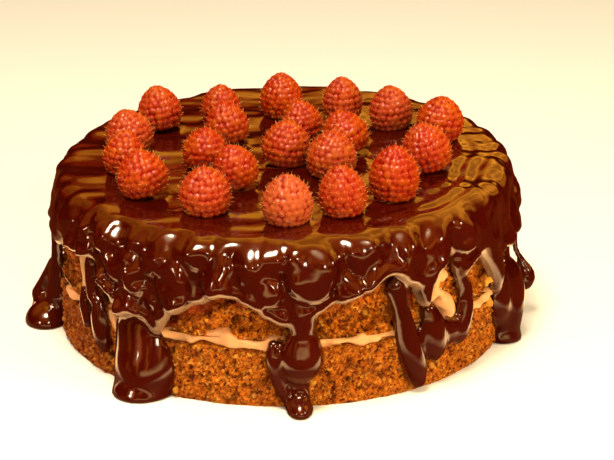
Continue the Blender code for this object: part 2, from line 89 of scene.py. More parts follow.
# The ganache, as the solids have it but with a slightly tighter shoulder
GANACHE_TOP = 76.5
GANACHE_RADIUS = 103.4
GANACHE_SHOULDER = 8.0
BACK_EDGE = 46.0
EDGE = (
    (-78, 50), (-68, 53), (-60, 50), (-52, 52), (-46, 44), (-41, 31), (-35, 35), (-30, 28),
    (-25, 38), (-19, 43), (-13, 49), (-8, 45), (-3, 40), (1, 36.5), (5, 38.5), (8, 41.5), (13, 45), (19, 49),
    (26, 55), (31, 49), (35, 38), (38, 53), (43, 58), (48, 47), (52, 50), (58, 52), (66, 46),
)

# Drips as (angle, height, how far it stands proud, half its width), from the top down
DRIPS = (
    # the broad tongue at the front left, pooled where it meets the table
    ((-37, 38, 2, 8), (-37.5, 32, 3, 10), (-36.5, 24, 6, 12), (-35, 15, 9, 14.5), (-34.5, 8, 12, 14.5),
     (-34.5, 3, 12, 12)),
    # the front middle drip: a neck and a swollen bulb, with two legs under it
    ((5, 48, 5.4, 8), (5, 43, 7.2, 6.4), (5, 38, 7.8, 4.8), (5, 33, 7.4, 4.4),
     (5, 27.5, 8.8, 7.8), (4.8, 22, 10, 9.4), (4.8, 20, 9, 7)),
    ((-1.5, 28, 3, 2.5), (-1.5, 22, 4.5, 3.5), (-0.5, 14, 4.5, 3.5), (1, 7, 4, 3), (2, 3, 3, 2)),
    ((4.6, 20, 4, 4), (4.6, 13, 4.5, 4), (4.5, 6, 6, 3.6), (4.3, 1.5, 10, 3.6)),
    # the slanting drip at the front right
    ((28, 48, 4, 5), (29, 40, 4.2, 4), (30.5, 30, 4.5, 5), (32, 20, 5.5, 6), (33.6, 11, 5.5, 5.5),
     (34.6, 5, 4, 3.5)),
    # the two-lobed patch to its right, and the run that feeds it
    ((38, 34, 2.5, 4), (39, 27, 4.5, 7), (40, 19, 4.5, 6.5), (40, 15, 3, 5)),
    ((47, 52, 4, 4), (48, 46, 3.5, 3.5), (50, 38, 3, 3.5)),
    ((51, 39, 2.5, 3), (50, 29, 4.5, 5), (48.5, 21, 4.5, 5), (48, 17, 3, 3)),
    ((44.5, 25, 2.5, 4.5), (45, 23, 3.5, 5.5), (45, 20, 3, 5)),
    # the finger and the pooled drip at the right
    ((57, 60, 4, 8), (60, 52, 5.5, 6.5), (63, 44, 6, 5.5), (65.5, 36, 5.5, 4.5), (66, 31, 4, 3)),
    ((74, 54, 4, 5), (74, 42, 3.5, 3.5), (74, 35, 5, 6), (75.5, 28, 9, 9.5), (76, 20, 10.5, 10.5),
     (75.5, 12, 10, 9), (74.5, 4, 9, 8)),
    ((70, 33, 4, 5), (69.5, 27, 6, 7), (70, 20, 6.5, 7.5), (71, 13, 5, 5)),
    # the lobe and the short drips at the left
    ((-72, 60, 4.5, 7), (-72, 53, 5.5, 7), (-72, 49, 3.5, 4)),
    ((-56, 34, 2.5, 2.5), (-56, 28, 3.5, 3), (-55, 20, 3, 2.5)),
    ((-53, 48, 3, 3.5), (-52.5, 40, 3.5, 3.5), (-52, 34, 3.5, 3)),
    ((-50, 32, 3, 3), (-49.5, 25, 4.5, 5), (-48.5, 17, 4.5, 4.5), (-48, 13, 3, 3)),
    # the pooled drip at the left
    ((-84, 54, 4, 7), (-85, 42, 4, 4.5), (-86, 32, 4.5, 4), (-87, 22, 6, 6), (-88, 12, 8.5, 9)),
)

# Strands that hang free of the side, as (angle, height, distance from the side, radius)
STRANDS = (
    ((86, 60, 1, 4.5), (87, 50, 2.5, 3.2), (88, 41, 3.5, 2.0), (89, 33, 5, 1.4),
     (90, 27, 7.6, 1.8), (90, 19.5, 9.8, 4.6), (90, 16.5, 9.6, 4.3)),
    ((-89, 26, 3.5, 3), (-92, 16, 8, 3.4), (-93, 8, 11.5, 4.4)),
)

# Folds where the ganache runs over itself on the drape, given as the drips are
FRONT_FOLDS = (
    ((7, 66, 1.2, 8), (7, 62, 3.4, 11), (7, 58, 5.0, 10.5)),
    ((5, 46, 0.8, 4), (5, 42, 2.0, 5), (5, 38, 2.4, 5)),
    ((-2, 69, 1.8, 4), (-2, 65, 3.2, 5), (-2, 60, 2.6, 4.5)),
    ((-7, 62, 1.0, 8), (-7, 57, 2.6, 8), (-6, 51, 2.2, 7)),
    ((-3, 57, 1.2, 6), (-3, 54, 3.4, 6), (-2, 51, 3.0, 5)),
    ((15, 55, 1.0, 5), (15.5, 52, 2.8, 6), (15, 49, 2.6, 5)),
    ((-19, 69, 1.8, 5), (-19, 66, 3.0, 6), (-18, 63, 2.0, 5)),
    ((-15, 61, 1.2, 7), (-14, 56, 3.6, 7.5), (-13, 52, 3.0, 6)),
    ((-27, 60, 1.0, 6), (-25, 52, 3.2, 8), (-24, 45, 4.2, 6.5)),
    ((18, 71, 1.8, 6), (19, 68, 3.0, 7), (19, 63, 2.4, 6)),
    ((24, 62, 1.4, 8), (24, 57, 3.4, 9), (23, 53, 3.0, 8)),
    ((30, 66, 1.0, 6), (31, 60, 3.0, 8), (32, 54, 3.4, 7)),
    ((-31, 65, 1.2, 4), (-31, 61, 3.0, 5.5), (-30, 58, 2.6, 5)),
    ((-36, 58, 1.2, 4), (-36, 54, 3.0, 6), (-35, 49, 3.6, 5.5)),
    ((-42, 62, 1.2, 5), (-42, 57, 3.0, 6), (-41, 52, 3.6, 5.5)),
    ((-46, 69, 1.2, 4), (-46, 66, 2.8, 5), (-46, 62, 2.6, 4)),
    ((-38, 46, 1.5, 5), (-37, 41, 3.4, 7), (-36, 36, 4.0, 6)),
    ((-45, 48, 1.2, 3), (-44, 44, 2.6, 4), (-43, 40, 2.6, 4)),
    ((-54, 66, 1.2, 5), (-53, 61, 3.0, 6), (-52, 57, 3.2, 5)),
    ((-63, 68, 1.2, 6), (-62, 63, 3.0, 7), (-61, 58, 3.0, 6)),
    ((39, 66, 1.2, 6), (38, 60, 3.0, 8), (37, 53, 3.2, 7)),
    ((36, 49, 1.4, 5), (37, 45, 3.0, 7), (37, 41, 3.2, 6)),
    ((48, 70, 1.2, 5), (48, 66, 2.6, 6), (48, 61, 3.0, 5)),
)

# Folds and drips by seeded rules past the front's tables, from one angle on over so many degrees
SIDE_FOLDS_FROM = 56.0
SIDE_FOLDS_OVER = 206.0
SIDE_FOLDS_TOP = 66.0
FOLD_SEED = 17
BACK_DRIPS = 8
BACK_DRIPS_FROM = 104.0
BACK_DRIPS_OVER = 152.0
BACK_DRIP_SEED = 11
BACK_DRIP_FEET = (0, 8, 14, 22, 28)

# Pools on the table, as (angle, distance from the axis, half width, half depth, height)
POOLS = (
    (-34.5, 102.5, 12.5, 12.5, 8), (-86, 107.5, 12, 10, 9.5), (-91, 106, 9, 10, 10),
    (74.5, 102, 8.5, 8, 6), (4.3, 108.5, 4.2, 4.5, 5),
)

# Cream smeared over the side, given as the drips are
CREAM_SMEARS = (
    ((-59, 47, 0.8, 1.6), (-57.5, 42, 1.3, 2.4), (-56.5, 36, 1.4, 2.9), (-56.5, 31, 1.0, 2.2)),
    ((-46, 30, 0.8, 2.0), (-44.5, 26, 1.5, 3.2), (-42.5, 22, 1.3, 2.6), (-41.5, 19, 0.8, 1.6)),
    ((37.5, 50.5, 0.8, 1.8), (40.5, 48.5, 1.6, 3.2), (43, 46.5, 1.0, 2.2)),
    ((41.5, 45, 1.0, 2.2), (40, 42, 1.5, 3.0), (39.5, 39, 1.0, 2.0)),
    ((43, 37, 1.0, 2.4), (44.5, 34, 2.0, 3.4), (45, 30.5, 2.4, 3.4), (45, 28, 2.0, 3.0)),
)

# Nut pieces that stand out of the side at the right, as (angle, height, radius)
NUT_NUBS = ((62.6, 35.0, 2.5), (63.4, 24.0, 2.3), (38.3, 45.0, 1.8))

# Relief of the crumb layers in metres, and how many loose pieces lie on a square metre of them
CRUMB_COLUMNS = 860
LOWER_CRUMB = {"Lumps": 0.0034, "Lump_Size": 0.007, "Grain_Density": 190000.0, "Nut_Density": 1500.0}
UPPER_CRUMB = {"Lumps": 0.0075, "Lump_Size": 0.008, "Grain_Density": 122000.0, "Nut_Density": 2300.0}
UPPER_COARSER = 1.25
UPPER_DEEPER = 1.35

# Loose pieces as (share of nut, input that counts them, smallest and largest radius in metres, subdivisions)
LOOSE_PIECES = ((0.0, "Grain Density", 0.00040, 0.00095, 1), (1.0, "Nut Density", 0.0010, 0.0018, 2))

# Corners of the grids that the poured skins are drawn from, in mm
GANACHE_BOX = ((-123.0, -118.0, -3.0), (118.0, 112.0, 92.0))
CREAM_BOX = ((-104.0, -104.0, 14.0), (104.0, 104.0, 56.0))
CREAM_GRID = 1.0

# Raspberries as (right, back, width, height, lean to the right, lean to the back), in mm and degrees
RASPBERRIES = (
    (-56, 38, 20.5, 19.5, -8, 4), (-67, 8, 21.5, 18.5, -12, 0), (-69, -18, 18.8, 18.7, 6, 0),
    (-57, -45, 21.9, 18.8, -12, 2), (-29, 45, 18.8, 18.2, 0, 0), (-24, 17, 20.0, 18.6, -10, 4),
    (-34, -13, 20.0, 17.6, 3, 0), (-18, -38, 19.6, 17.8, -13, 0), (-31, -64, 22.2, 19.2, 0, 0),
    (-1, 53, 20.3, 20.4, 0, 0), (10, 16, 18.8, 18.2, -10, 6), (1, -11, 21.8, 19.2, 7, 0),
    (28, 48, 18.8, 19.4, -3, 0), (30, -1, 21.0, 18.8, -18, 3), (21, -26, 21.8, 19.6, 4, 0),
    (3, -76, 21.4, 19.8, 0, 0), (26, -69, 20.2, 20.4, -4, 0), (50, 34, 20.4, 19.4, -4, 0),
    (70, 17, 21.8, 18.8, 8, 0), (64, -22, 22.0, 20.0, -13, 0), (47, -53, 21.5, 22.4, 2, 0),
)
BERRY_NAMES = [f"raspberry_{index:02d}" for index in range(1, len(RASPBERRIES) + 1)]

# Random draws of the berries, the one with the palest bloom, and the share of its height where one is widest
BERRY_SEED = 100
BLOOMING_BERRY = 16
BERRY_WIDEST = 0.36

# Soft lights, of which the first two aren't mirrored, as (name, place, aim, power, colour)
FILL_LIGHTS = (
    ("front_light", (0.30, -1.25, 0.50), (0.0, 0.0, 0.04), 4.5, (1.0, 0.74, 0.42)),
    ("right_light", (1.00, -0.70, 0.40), (0.05, 0.0, 0.03), 11.0, (1.0, 0.86, 0.42)),
)
FILL_SIZE = 0.50
KEY_PLACE = (-0.10, -0.34, 0.95)
KEY_SIZE = 0.34
WARM = (1.0, 0.84, 0.60)
TORTE_MIDDLE = (0.0, 0.0, 0.05)

# Small lamps in front of the torte that give the wet ganache its highlights
SPARKLE_LAMPS = ((-0.80, -0.80, 0.50), (0.30, -1.10, 0.65), (0.95, -0.45, 0.60))
SPARKLE_SIZE = 0.15
SPARKLE_POWER = 1.6

# Colours of the room and the floor, of which all but the air's show in reflections alone
ROOM_AIR = (1.0, 0.82, 0.58)
ROOM_SHADE = (0.05, 0.004, 0.001)
WALL_SHADE = (1.0, 0.06, 0.003)
WALL_GLOW = (8.0, 2.9, 0.20)
AHEAD_GLOW = (4.2, 1.05, 0.10)
WINDOW_GLOW = (6.2, 3.6, 1.3)
LAMP_HALO = (2.6, 0.55, 0.04)
LAMP_GLOW = (10.0, 6.5, 3.4)
FLOOR_SHADE = (0.10, 0.020, 0.004)
FLOOR_GLOW = (3.6, 2.15, 0.95, 1.0)
LAMP_HEADING = (-0.10, -0.33, 0.94)

# Other colours
# Pale painted reflection of the floor, on the ganache's down-facing undersides
PAINTED_FLOOR_REFLECTION = (0.29, 0.155, 0.080)
BERRY_BLOOM = (0.38, 0.080, 0.024)
STYLE_PALE = (0.90, 0.50, 0.16)
STYLE_DARK = (0.80, 0.30, 0.10)

CAMERA_PLACE = (0.0108, -0.8051, 0.3342)
CAMERA_DOWN = 20.01
CAMERA_LENS = 111.4
CAMERA_SENSOR = 36.0


# Settings that a user would change

def colour_setting(name, description, default):
    return bpy.props.FloatVectorProperty(
        name=name, description=description, subtype="COLOR", size=3, min=0.0, max=1.0, default=default,
    )


def length_setting(name, description, low, high, default):
    return bpy.props.FloatProperty(
        name=name, description=description, unit="LENGTH", min=low, max=high, default=default,
    )


def number_setting(name, description, high, default):
    return bpy.props.FloatProperty(name=name, description=description, min=0.0, max=high, default=default)


class CrumbSettings(bpy.types.PropertyGroup):
    light_colour: colour_setting(
        "Light Crumb", "Colour of the crumb where the light catches it", (0.66, 0.172, 0.007),
    )
    # The dark colour is also the painted shade in the crumb's pits and cracks
    dark_colour: colour_setting(
        "Dark Crumb", "Colour of the crumb in its pits and cracks", (0.080, 0.0055, 0.0008),
    )
    nut_colour: colour_setting("Nut Pieces", "Colour of the nut pieces in the crumb", (0.78, 0.38, 0.050))
    grain: length_setting("Grain Size", "Size of one grain of the crumb's relief", 0.0005, 0.01, 0.0021)
    relief: length_setting(
        "Grain Relief", "How deep the crumb is pitted between its grains", 0.0, 0.004, 0.0022,
    )


class CreamSettings(bpy.types.PropertyGroup):
    colour: colour_setting("Cream", "Colour of the cream filling", (0.71, 0.37, 0.150))
    wave: length_setting("Edge Wave", "How unevenly the cream's edge is squeezed out", 0.0, 0.004, 0.0011)


class GanacheSettings(bpy.types.PropertyGroup):
    colour: colour_setting("Ganache", "Colour of the poured chocolate", (0.027, 0.0009, 0.0002))
    roughness: number_setting("Gloss Roughness", "Roughness of the wet surface", 1.0, 0.10)
    fineness: length_setting(
        "Fineness", "Spacing of the grid that the ganache's skin is drawn from", 0.0008, 0.004, 0.00129,
    )
    lobes: bpy.props.IntProperty(
        name="Folds", description="Number of overlapping folds round the drape", min=0, max=80, default=22,
    )


class BerrySettings(bpy.types.PropertyGroup):
    colour: colour_setting("Berry Skin", "Colour of the drupelets", (0.27, 0.0085, 0.0006))
    drupelet: length_setting("Drupelet Width", "Spacing of the drupelets over a berry", 0.002, 0.006, 0.0028)
    relief: length_setting(
        "Drupelet Height", "How far each drupelet swells from the berry's body", 0.0, 0.003, 0.0010,
    )
    hair: length_setting("Hair Length", "Length of the dry styles on the drupelets", 0.0, 0.006, 0.0016)


class StageSettings(bpy.types.PropertyGroup):
    floor_colour: colour_setting("Floor", "Colour of the plain floor", (0.86, 0.84, 0.80))
    key_power: number_setting("Key Light", "Power of the soft light above the front", 200.0, 14.0)
    room_strength: number_setting("Room Light", "Strength of the soft light from all round", 5.0, 0.50)


# Help with meshes

def write_mesh(name, points, faces, attributes=None):
    """An object at the origin from points in mm, with float values on its points by name."""
    mesh = bpy.data.meshes.new(name)
    mesh.from_pydata((np.asarray(points, float) * MM).tolist(), [], faces)
    for key, values in (attributes or {}).items():
        layer = mesh.attributes.new(key, "FLOAT", "POINT")
        layer.data.foreach_set("value", np.asarray(values, np.float32))
    mesh.validate()
    mesh.shade_smooth()
    thing = bpy.data.objects.new(name, mesh)
    bpy.context.scene.collection.objects.link(thing)
    return thing


def closed_faces(rings, columns):
    """Faces between rings of points, closed by a fan to the point after them and one to the next."""
    faces = []
    for ring in range(rings - 1):
        for column in range(columns):
            beside = (column + 1) % columns
            low, high = ring * columns, (ring + 1) * columns
            faces.append((low + column, low + beside, high + beside, high + column))
    foot, tip, last = rings * columns, rings * columns + 1, (rings - 1) * columns
    for column in range(columns):
        beside = (column + 1) % columns
        faces.append((foot, beside, column))
        faces.append((tip, last + column, last + beside))
    return faces


def carry_out(thing):
    """Make the result of an object's modifiers its own plain mesh, and drop the modifiers."""
    bpy.context.view_layer.update()
    seen = thing.evaluated_get(bpy.context.evaluated_depsgraph_get())
    mesh = bpy.data.meshes.new_from_object(seen)
    thing.modifiers.clear()
    thing.data = mesh
    return thing


def drive(thing, tree, **values):
    """Add a Geometry Nodes tree to an object and set its inputs by their names."""
    modifier = thing.modifiers.new(tree.name, "NODES")
    modifier.node_group = tree
    sockets = {item.name: item.identifier for item in tree.interface.items_tree if item.in_out == "INPUT"}
    for name, value in values.items():
        modifier[sockets[name.replace("_", " ")]] = value
    return carry_out(thing)


def feed(tree, node, feeds):
    """Feed a node's inputs from sockets or plain values."""
    for key, value in feeds.items():
        if isinstance(value, bpy.types.NodeSocket):
            tree.links.new(value, node.inputs[key])
        else:
            node.inputs[key].default_value = value


def place(tree, kind, feeds=None, **settings):
    """Add a node, give it its settings, and feed its inputs."""
    made = tree.nodes.new(kind)
    for key, value in settings.items():
        setattr(made, key, value)
    feed(tree, made, feeds or {})
    return made


def maths(tree, operation, *values):
    return place(tree, "ShaderNodeMath", dict(enumerate(values)), operation=operation).outputs[0]


def times(tree, first, second):
    return maths(tree, "MULTIPLY", first, second)


def vectors(tree, operation, *values):
    made = place(tree, "ShaderNodeVectorMath", dict(enumerate(values)), operation=operation)
    return made.outputs["Value" if operation in ("LENGTH", "DISTANCE", "DOT_PRODUCT") else "Vector"]


def scaled(tree, vector, amount):
    feeds = {0: vector, "Scale": amount}
    return place(tree, "ShaderNodeVectorMath", feeds, operation="SCALE").outputs["Vector"]


def ranged(tree, value, low, high, to_low=0.0, to_high=1.0):
    feeds = {"Value": value, "From Min": low, "From Max": high, "To Min": to_low, "To Max": to_high}
    return place(tree, "ShaderNodeMapRange", feeds, clamp=True).outputs[0]


def noise_at(tree, where, scale, detail, **more):
    feeds = {"Vector": where, "Scale": scale, "Detail": detail, **more}
    return place(tree, "ShaderNodeTexNoise", feeds).outputs[0]


def any_number(tree, low, high, seed, **more):
    feeds = {2: low, 3: high, "Seed": seed, **more}
    return place(tree, "FunctionNodeRandomValue", feeds, data_type="FLOAT").outputs[1]


def any_vector(tree, low, high, seed):
    feeds = {0: low, 1: high, "Seed": seed}
    return place(tree, "FunctionNodeRandomValue", feeds, data_type="FLOAT_VECTOR").outputs[0]


def read_mark(tree, name):
    return place(tree, "GeometryNodeInputNamedAttribute", {"Name": name}, data_type="FLOAT").outputs[0]


def store_mark(tree, geometry, name, value):
    feeds = {"Geometry": geometry, "Name": name, "Value": value}
    made = place(tree, "GeometryNodeStoreNamedAttribute", feeds, data_type="FLOAT", domain="POINT")
    return made.outputs[0]


def push_points(tree, geometry, offset):
    return place(tree, "GeometryNodeSetPosition", {"Geometry": geometry, "Offset": offset}).outputs[0]


def new_tree(name, inputs):
    """A Geometry Nodes tree with a geometry input and output and the named inputs."""
    tree = bpy.data.node_groups.new(name, "GeometryNodeTree")
    tree.interface.new_socket("Geometry", in_out="OUTPUT", socket_type="NodeSocketGeometry")
    tree.interface.new_socket("Geometry", in_out="INPUT", socket_type="NodeSocketGeometry")
    for key, kind in inputs:
        tree.interface.new_socket(key, in_out="INPUT", socket_type="NodeSocket" + kind)
    return tree, tree.nodes.new("NodeGroupInput").outputs


def end_tree(tree, geometry, material):
    """Finish a tree with real geometry and its material."""
    real = place(tree, "GeometryNodeRealizeInstances", {"Geometry": geometry})
    smooth = place(tree, "GeometryNodeSetShadeSmooth", {"Geometry": real.outputs[0]})
    dressed = place(tree, "GeometryNodeSetMaterial", {"Geometry": smooth.outputs[0], "Material": material})
    place(tree, "NodeGroupOutput", {"Geometry": dressed.outputs[0]})


# Forms shared with the solids

def on_side(angle, height, radius):
    turn = math.radians(angle)
    return np.array((radius * math.sin(turn), -radius * math.cos(turn), height))


def rise(x, y):
    """How much higher the leaning top is over a place than over the axis."""
    return RISE_TO_BACK * y + RISE_TO_RIGHT * x


def smooth_step(share):
    return share * share * (3.0 - 2.0 * share)


def cream_line(x, y):
    """How far the cream's layer waves up or down at a place round the side."""
    return CREAM_WAVE * noise.noise(Vector((x, y, 0)) / 34)


def crags(point, depth):
    """How far the broken crumb is set back at a point of the side."""
    coarse = noise.noise(point / CRAG_SIZE)
    fine = noise.noise(point / (0.45 * CRAG_SIZE) + Vector((7, 3, 5)))
    return depth * min(1.0, max(0.0, 0.5 + 0.75 * coarse + 0.45 * fine))


def crevice(point):
    """How far the upper layer goes back along the uneven crack just over the cream."""
    around = Vector((point.x, point.y, 0))
    line = CREVICE_HEIGHT + 3.0 * noise.noise(around / 30)
    opened = min(1.0, max(0.0, 0.45 + 1.3 * noise.noise(around / 22 + Vector((4, 1, 8)))))
    return CREVICE_DEPTH * opened * math.exp(-(((point.z - line) / CREVICE_WIDTH) ** 2))


def upper_wall(height):
    """Radius of the upper layer, which tapers a little and rounds into the top."""
    share = (height - CREAM_BOTTOM) / (CRUMB_TOP - CREAM_BOTTOM)
    into = max(0.0, height - (CRUMB_TOP - CRUMB_SHOULDER))
    wall = CAKE_RADIUS - CRUMB_TAPER * share
    return wall - CRUMB_SHOULDER + math.sqrt(max(0.0, CRUMB_SHOULDER ** 2 - into ** 2))


def edge_height(angle):
    """Height of the ganache's lower edge: as seen at the front, a slow wave at the back."""
    first, last = EDGE[0][0], EDGE[-1][0]
    turn = (angle - first) % 360.0 + first
    if turn <= last:
        for (left, low), (right, high) in zip(EDGE, EDGE[1:]):
            if turn <= right:
                return low + (high - low) * smooth_step((turn - left) / (right - left))
    share = (turn - last) / (first + 360.0 - last)
    wave = 5.0 * math.sin(math.radians(turn * 9 + 40)) + 3.0 * math.sin(math.radians(turn * 17))
    ends = EDGE[-1][1] + (EDGE[0][1] - EDGE[-1][1]) * share
    hold = smooth_step(min(1.0, 8.0 * min(share, 1.0 - share)))
    return ends + (BACK_EDGE + wave - ends) * hold


def back_drips():
    """Drips of uneven length and width, spread round the side that faces away."""
    draw = random.Random(BACK_DRIP_SEED)
    drips = []
    for index in range(BACK_DRIPS):
        share = (index + 0.5 + draw.uniform(-0.25, 0.25)) / BACK_DRIPS
        angle = BACK_DRIPS_FROM + BACK_DRIPS_OVER * share
        half_width = draw.uniform(3.8, 6.5)
        foot = draw.choice(BACK_DRIP_FEET)
        start = edge_height(angle) + 5
        drip = []
        for step in range(5):
            down = step / 4
            height = start + (foot - start) * down
            drift = 2.0 * math.sin(3 * down + index)
            proud = 4.0 + 1.5 * down + (2.0 if foot == 0 and step == 4 else 0.0)
            drip.append((angle + drift, height, proud, half_width * (0.8 + 0.3 * down)))
        drips.append(tuple(drip))
    return drips


# Shader groups and materials

def new_material(name):
    material = bpy.data.materials.new(name)
    material.use_nodes = True
    material.node_tree.nodes.clear()
    tree = material.node_tree
    shader = place(tree, "ShaderNodeBsdfPrincipled")
    place(tree, "ShaderNodeOutputMaterial", {"Surface": shader.outputs[0]})
    return material, tree, shader


def mottle_group():
    """Shader group: uneven light and dark over a surface, at two scales."""
    name = "Mottle"
    if name in bpy.data.node_groups:
        return bpy.data.node_groups[name]
    tree = bpy.data.node_groups.new(name, "ShaderNodeTree")
    for key, default in (("Coarse Scale", 60.0), ("Fine Scale", 400.0), ("Fine Share", 0.4)):
        socket = tree.interface.new_socket(key, in_out="INPUT", socket_type="NodeSocketFloat")
        socket.default_value = default
    tree.interface.new_socket("Mask", in_out="OUTPUT", socket_type="NodeSocketFloat")
    ins = tree.nodes.new("NodeGroupInput").outputs
    where = object_place(tree)
    coarse = noise_at(tree, where, ins["Coarse Scale"], 3.0)
    fine = noise_at(tree, where, ins["Fine Scale"], 2.0)
    mixed = place(tree, "ShaderNodeMix", {0: ins["Fine Share"], 2: coarse, 3: fine})
    place(tree, "NodeGroupOutput", {"Mask": ranged(tree, mixed.outputs[0], 0.32, 0.68)})
    return tree


def mottle(tree, coarse, fine, share):
    feeds = {"Coarse Scale": coarse, "Fine Scale": fine, "Fine Share": share}
    made = place(tree, "ShaderNodeGroup", node_tree=mottle_group())
    feed(tree, made, feeds)
    return made.outputs["Mask"]


def blend_colours(tree, share, first, second):
    made = place(tree, "ShaderNodeMix", {0: share}, data_type="RGBA")
    for index, colour in ((6, first), (7, second)):
        plain = not isinstance(colour, bpy.types.NodeSocket)
        feed(tree, made, {index: (*colour, 1.0) if plain else colour})
    return made.outputs[2]


def attribute(tree, name):
    return place(tree, "ShaderNodeAttribute", attribute_name=name).outputs["Fac"]


def object_place(tree):
    return place(tree, "ShaderNodeTexCoord").outputs["Object"]


def split_axes(tree, vector):
    return place(tree, "ShaderNodeSeparateXYZ", {0: vector}).outputs


def add_bumps(tree, shader, scale, detail, strength, distance):
    """Small bumps on a material, finer than its mesh."""
    height = noise_at(tree, object_place(tree), scale, detail)
    bump = place(tree, "ShaderNodeBump", {"Strength": strength, "Distance": distance, "Height": height})
    feed(tree, shader, {"Normal": bump.outputs[0]})


def crumb_material(settings):
    """Baked nut crumb: orange-brown grains and golden nut pieces, with painted shade in its pits, under the
    drape's edge and round the left side, and painted light and shade by height.
    """
    material, tree, shader = new_material("baked_crumb")
    light, dark, nut = settings.light_colour, settings.dark_colour, settings.nut_colour
    middle = tuple(0.55 * a + 0.45 * b for a, b in zip(light, dark))
    stain = (0.30 * light[0], 0.20 * light[1], 0.20 * light[2])
    # Tone of the painted shadow under the drape's edge and the painted shade round the left side
    shade_tone = (2.6 * dark[0], 2.4 * dark[1], 2.0 * dark[2])
    where = object_place(tree)
    specks = noise_at(tree, where, 620.0, 4.0, Roughness=0.7)
    grains = place(tree, "ShaderNodeTexVoronoi", {"Vector": where, "Scale": 900.0})
    grain_tone = place(tree, "ShaderNodeSeparateColor", {0: grains.outputs["Color"]}).outputs[0]
    patches = mottle(tree, 90.0, 330.0, 0.55)
    tone = blend_colours(tree, patches, middle, light)
    painted_shade = times(tree, attribute(tree, "painted_shade"), ranged(tree, patches, 0.0, 1.0, 1.0, 0.55))
    for share, colour in (
        (ranged(tree, specks, 0.53, 0.38), dark),
        (ranged(tree, grain_tone, 0.80, 0.98, 0.0, 0.7), nut),
        (times(tree, attribute(tree, "nut"), 0.6), nut),
        (times(tree, mottle(tree, 22.0, 60.0, 0.4), 0.30), stain),
        (painted_shade, shade_tone),
        # painted shade in the hollows
        (times(tree, attribute(tree, "pit"), 0.85), dark),
    ):
        tone = blend_colours(tree, share, tone, colour)
    # Painted light and shade: the crumb darker low down and lighter higher up
    height = split_axes(tree, where)[2]
    tone = scaled(tree, tone, ranged(tree, height, 0.022, 0.034, 0.93, 1.12))
    feed(tree, shader, {"Base Color": tone, "Roughness": 0.72, "Specular IOR Level": 0.12})
    add_bumps(tree, shader, 1400.0, 3.0, 0.8, 0.0010)
    return material


def cream_material(settings):
    """Soft cream, a little translucent, with pinker and paler patches."""
    material, tree, shader = new_material("filling_cream")
    colour = settings.colour
    pinker = (colour[0] * 0.98, colour[1] * 0.78, colour[2] * 0.68)
    feed(tree, shader, {
        "Base Color": blend_colours(tree, mottle(tree, 90.0, 500.0, 0.3), colour, pinker), "Roughness": 0.42,
        "Subsurface Weight": 0.25, "Subsurface Radius": (0.004, 0.002, 0.001),
    })
    add_bumps(tree, shader, 700.0, 3.0, 0.35, 0.0005)
    return material


def ganache_material(settings):
    """Wet, dark chocolate glaze, redder in patches, with a pale painted reflection of the floor on its
    down-facing undersides, most near the lip.
    """
    material, tree, shader = new_material("poured_ganache")
    colour = settings.colour
    redder = (colour[0] * 1.6, colour[1] * 2.2, colour[2] * 1.5)
    tone = blend_colours(tree, mottle(tree, 35.0, 160.0, 0.3), colour, redder)
    # Painted reflection: pale where the surface faces down, most near the lip and less close to the floor
    facing_up = split_axes(tree, place(tree, "ShaderNodeNewGeometry").outputs["Normal"])[2]
    elsewhere = ranged(tree, attribute(tree, "lip"), 0.0, 1.0, 0.28, 0.0)
    under = ranged(tree, maths(tree, "ADD", facing_up, elsewhere), -0.14, -0.38)
    where = object_place(tree)
    height = split_axes(tree, where)[2]
    under = times(tree, under, ranged(tree, height, 0.012, 0.034, 0.10, 0.85))
    wet, dull = settings.roughness * 0.7, settings.roughness * 1.5
    feed(tree, shader, {
        "Base Color": blend_colours(tree, under, tone, PAINTED_FLOOR_REFLECTION),
        "Roughness": ranged(tree, mottle(tree, 70.0, 330.0, 0.4), 0.0, 1.0, wet, dull),
        "IOR": 1.52, "Coat Weight": 0.5, "Coat Roughness": 0.04,
    })
    add_bumps(tree, shader, 130.0, 2.0, 0.25, 0.0008)
    return material


def berry_material(settings):
    """Raspberry skin: bright drupelets, a faint bloom, and painted shade in deeper red in the creases between
    them.
    """
    material, tree, shader = new_material("raspberry_skin")
    colour = settings.colour
    # Painted shade in the creases
    deep = (colour[0] * 0.80, colour[1] * 0.15, colour[2] * 0.1)
    bright = (min(1.0, colour[0] * 1.4), colour[1] * 8.0, colour[2] * 1.0)
    shade = ranged(tree, attribute(tree, "shade"), 0.0, 1.0, 0.2)
    tone = blend_colours(tree, times(tree, mottle(tree, 75.0, 420.0, 0.3), shade), colour, bright)
    tone = blend_colours(tree, times(tree, attribute(tree, "bloom"), 0.6), tone, BERRY_BLOOM)
    feed(tree, shader, {
        "Base Color": blend_colours(tree, attribute(tree, "crease"), tone, deep),
        "Roughness": 0.21, "Specular IOR Level": 0.26,
        "Subsurface Weight": 0.45, "Subsurface Radius": (0.0035, 0.0008, 0.0005),
    })
    return material


def hair_material():
    """Dry styles of the raspberries, straw pale to brown."""
    material, tree, shader = new_material("raspberry_hair")
    tone = blend_colours(tree, mottle(tree, 200.0, 900.0, 0.4), STYLE_PALE, STYLE_DARK)
    feed(tree, shader, {"Base Color": tone, "Roughness": 0.5})
    return material


def floor_material(colour):
    """Plain pale floor. Glossy rays see it dark, except a ring close round the torte that glows, weaker for
    short rays, to paint a pale reflection into the ganache.
    """
    material, tree, shader = new_material("pale_floor")
    away = vectors(tree, "LENGTH", object_place(tree))
    near = times(tree, ranged(tree, away, 0.142, 0.130), ranged(tree, away, 0.104, 0.112))
    path = place(tree, "ShaderNodeLightPath").outputs
    near = times(tree, near, ranged(tree, path["Ray Length"], 0.030, 0.048, 0.05, 1.0))
    glossy = path["Is Glossy Ray"]
    feed(tree, shader, {
        "Base Color": blend_colours(tree, glossy, colour, FLOOR_SHADE), "Roughness": 0.65,
        "Emission Strength": times(tree, glossy, near), "Emission Color": FLOOR_GLOW,
        "Specular IOR Level": 0.0,
    })
    return material


# Crumb

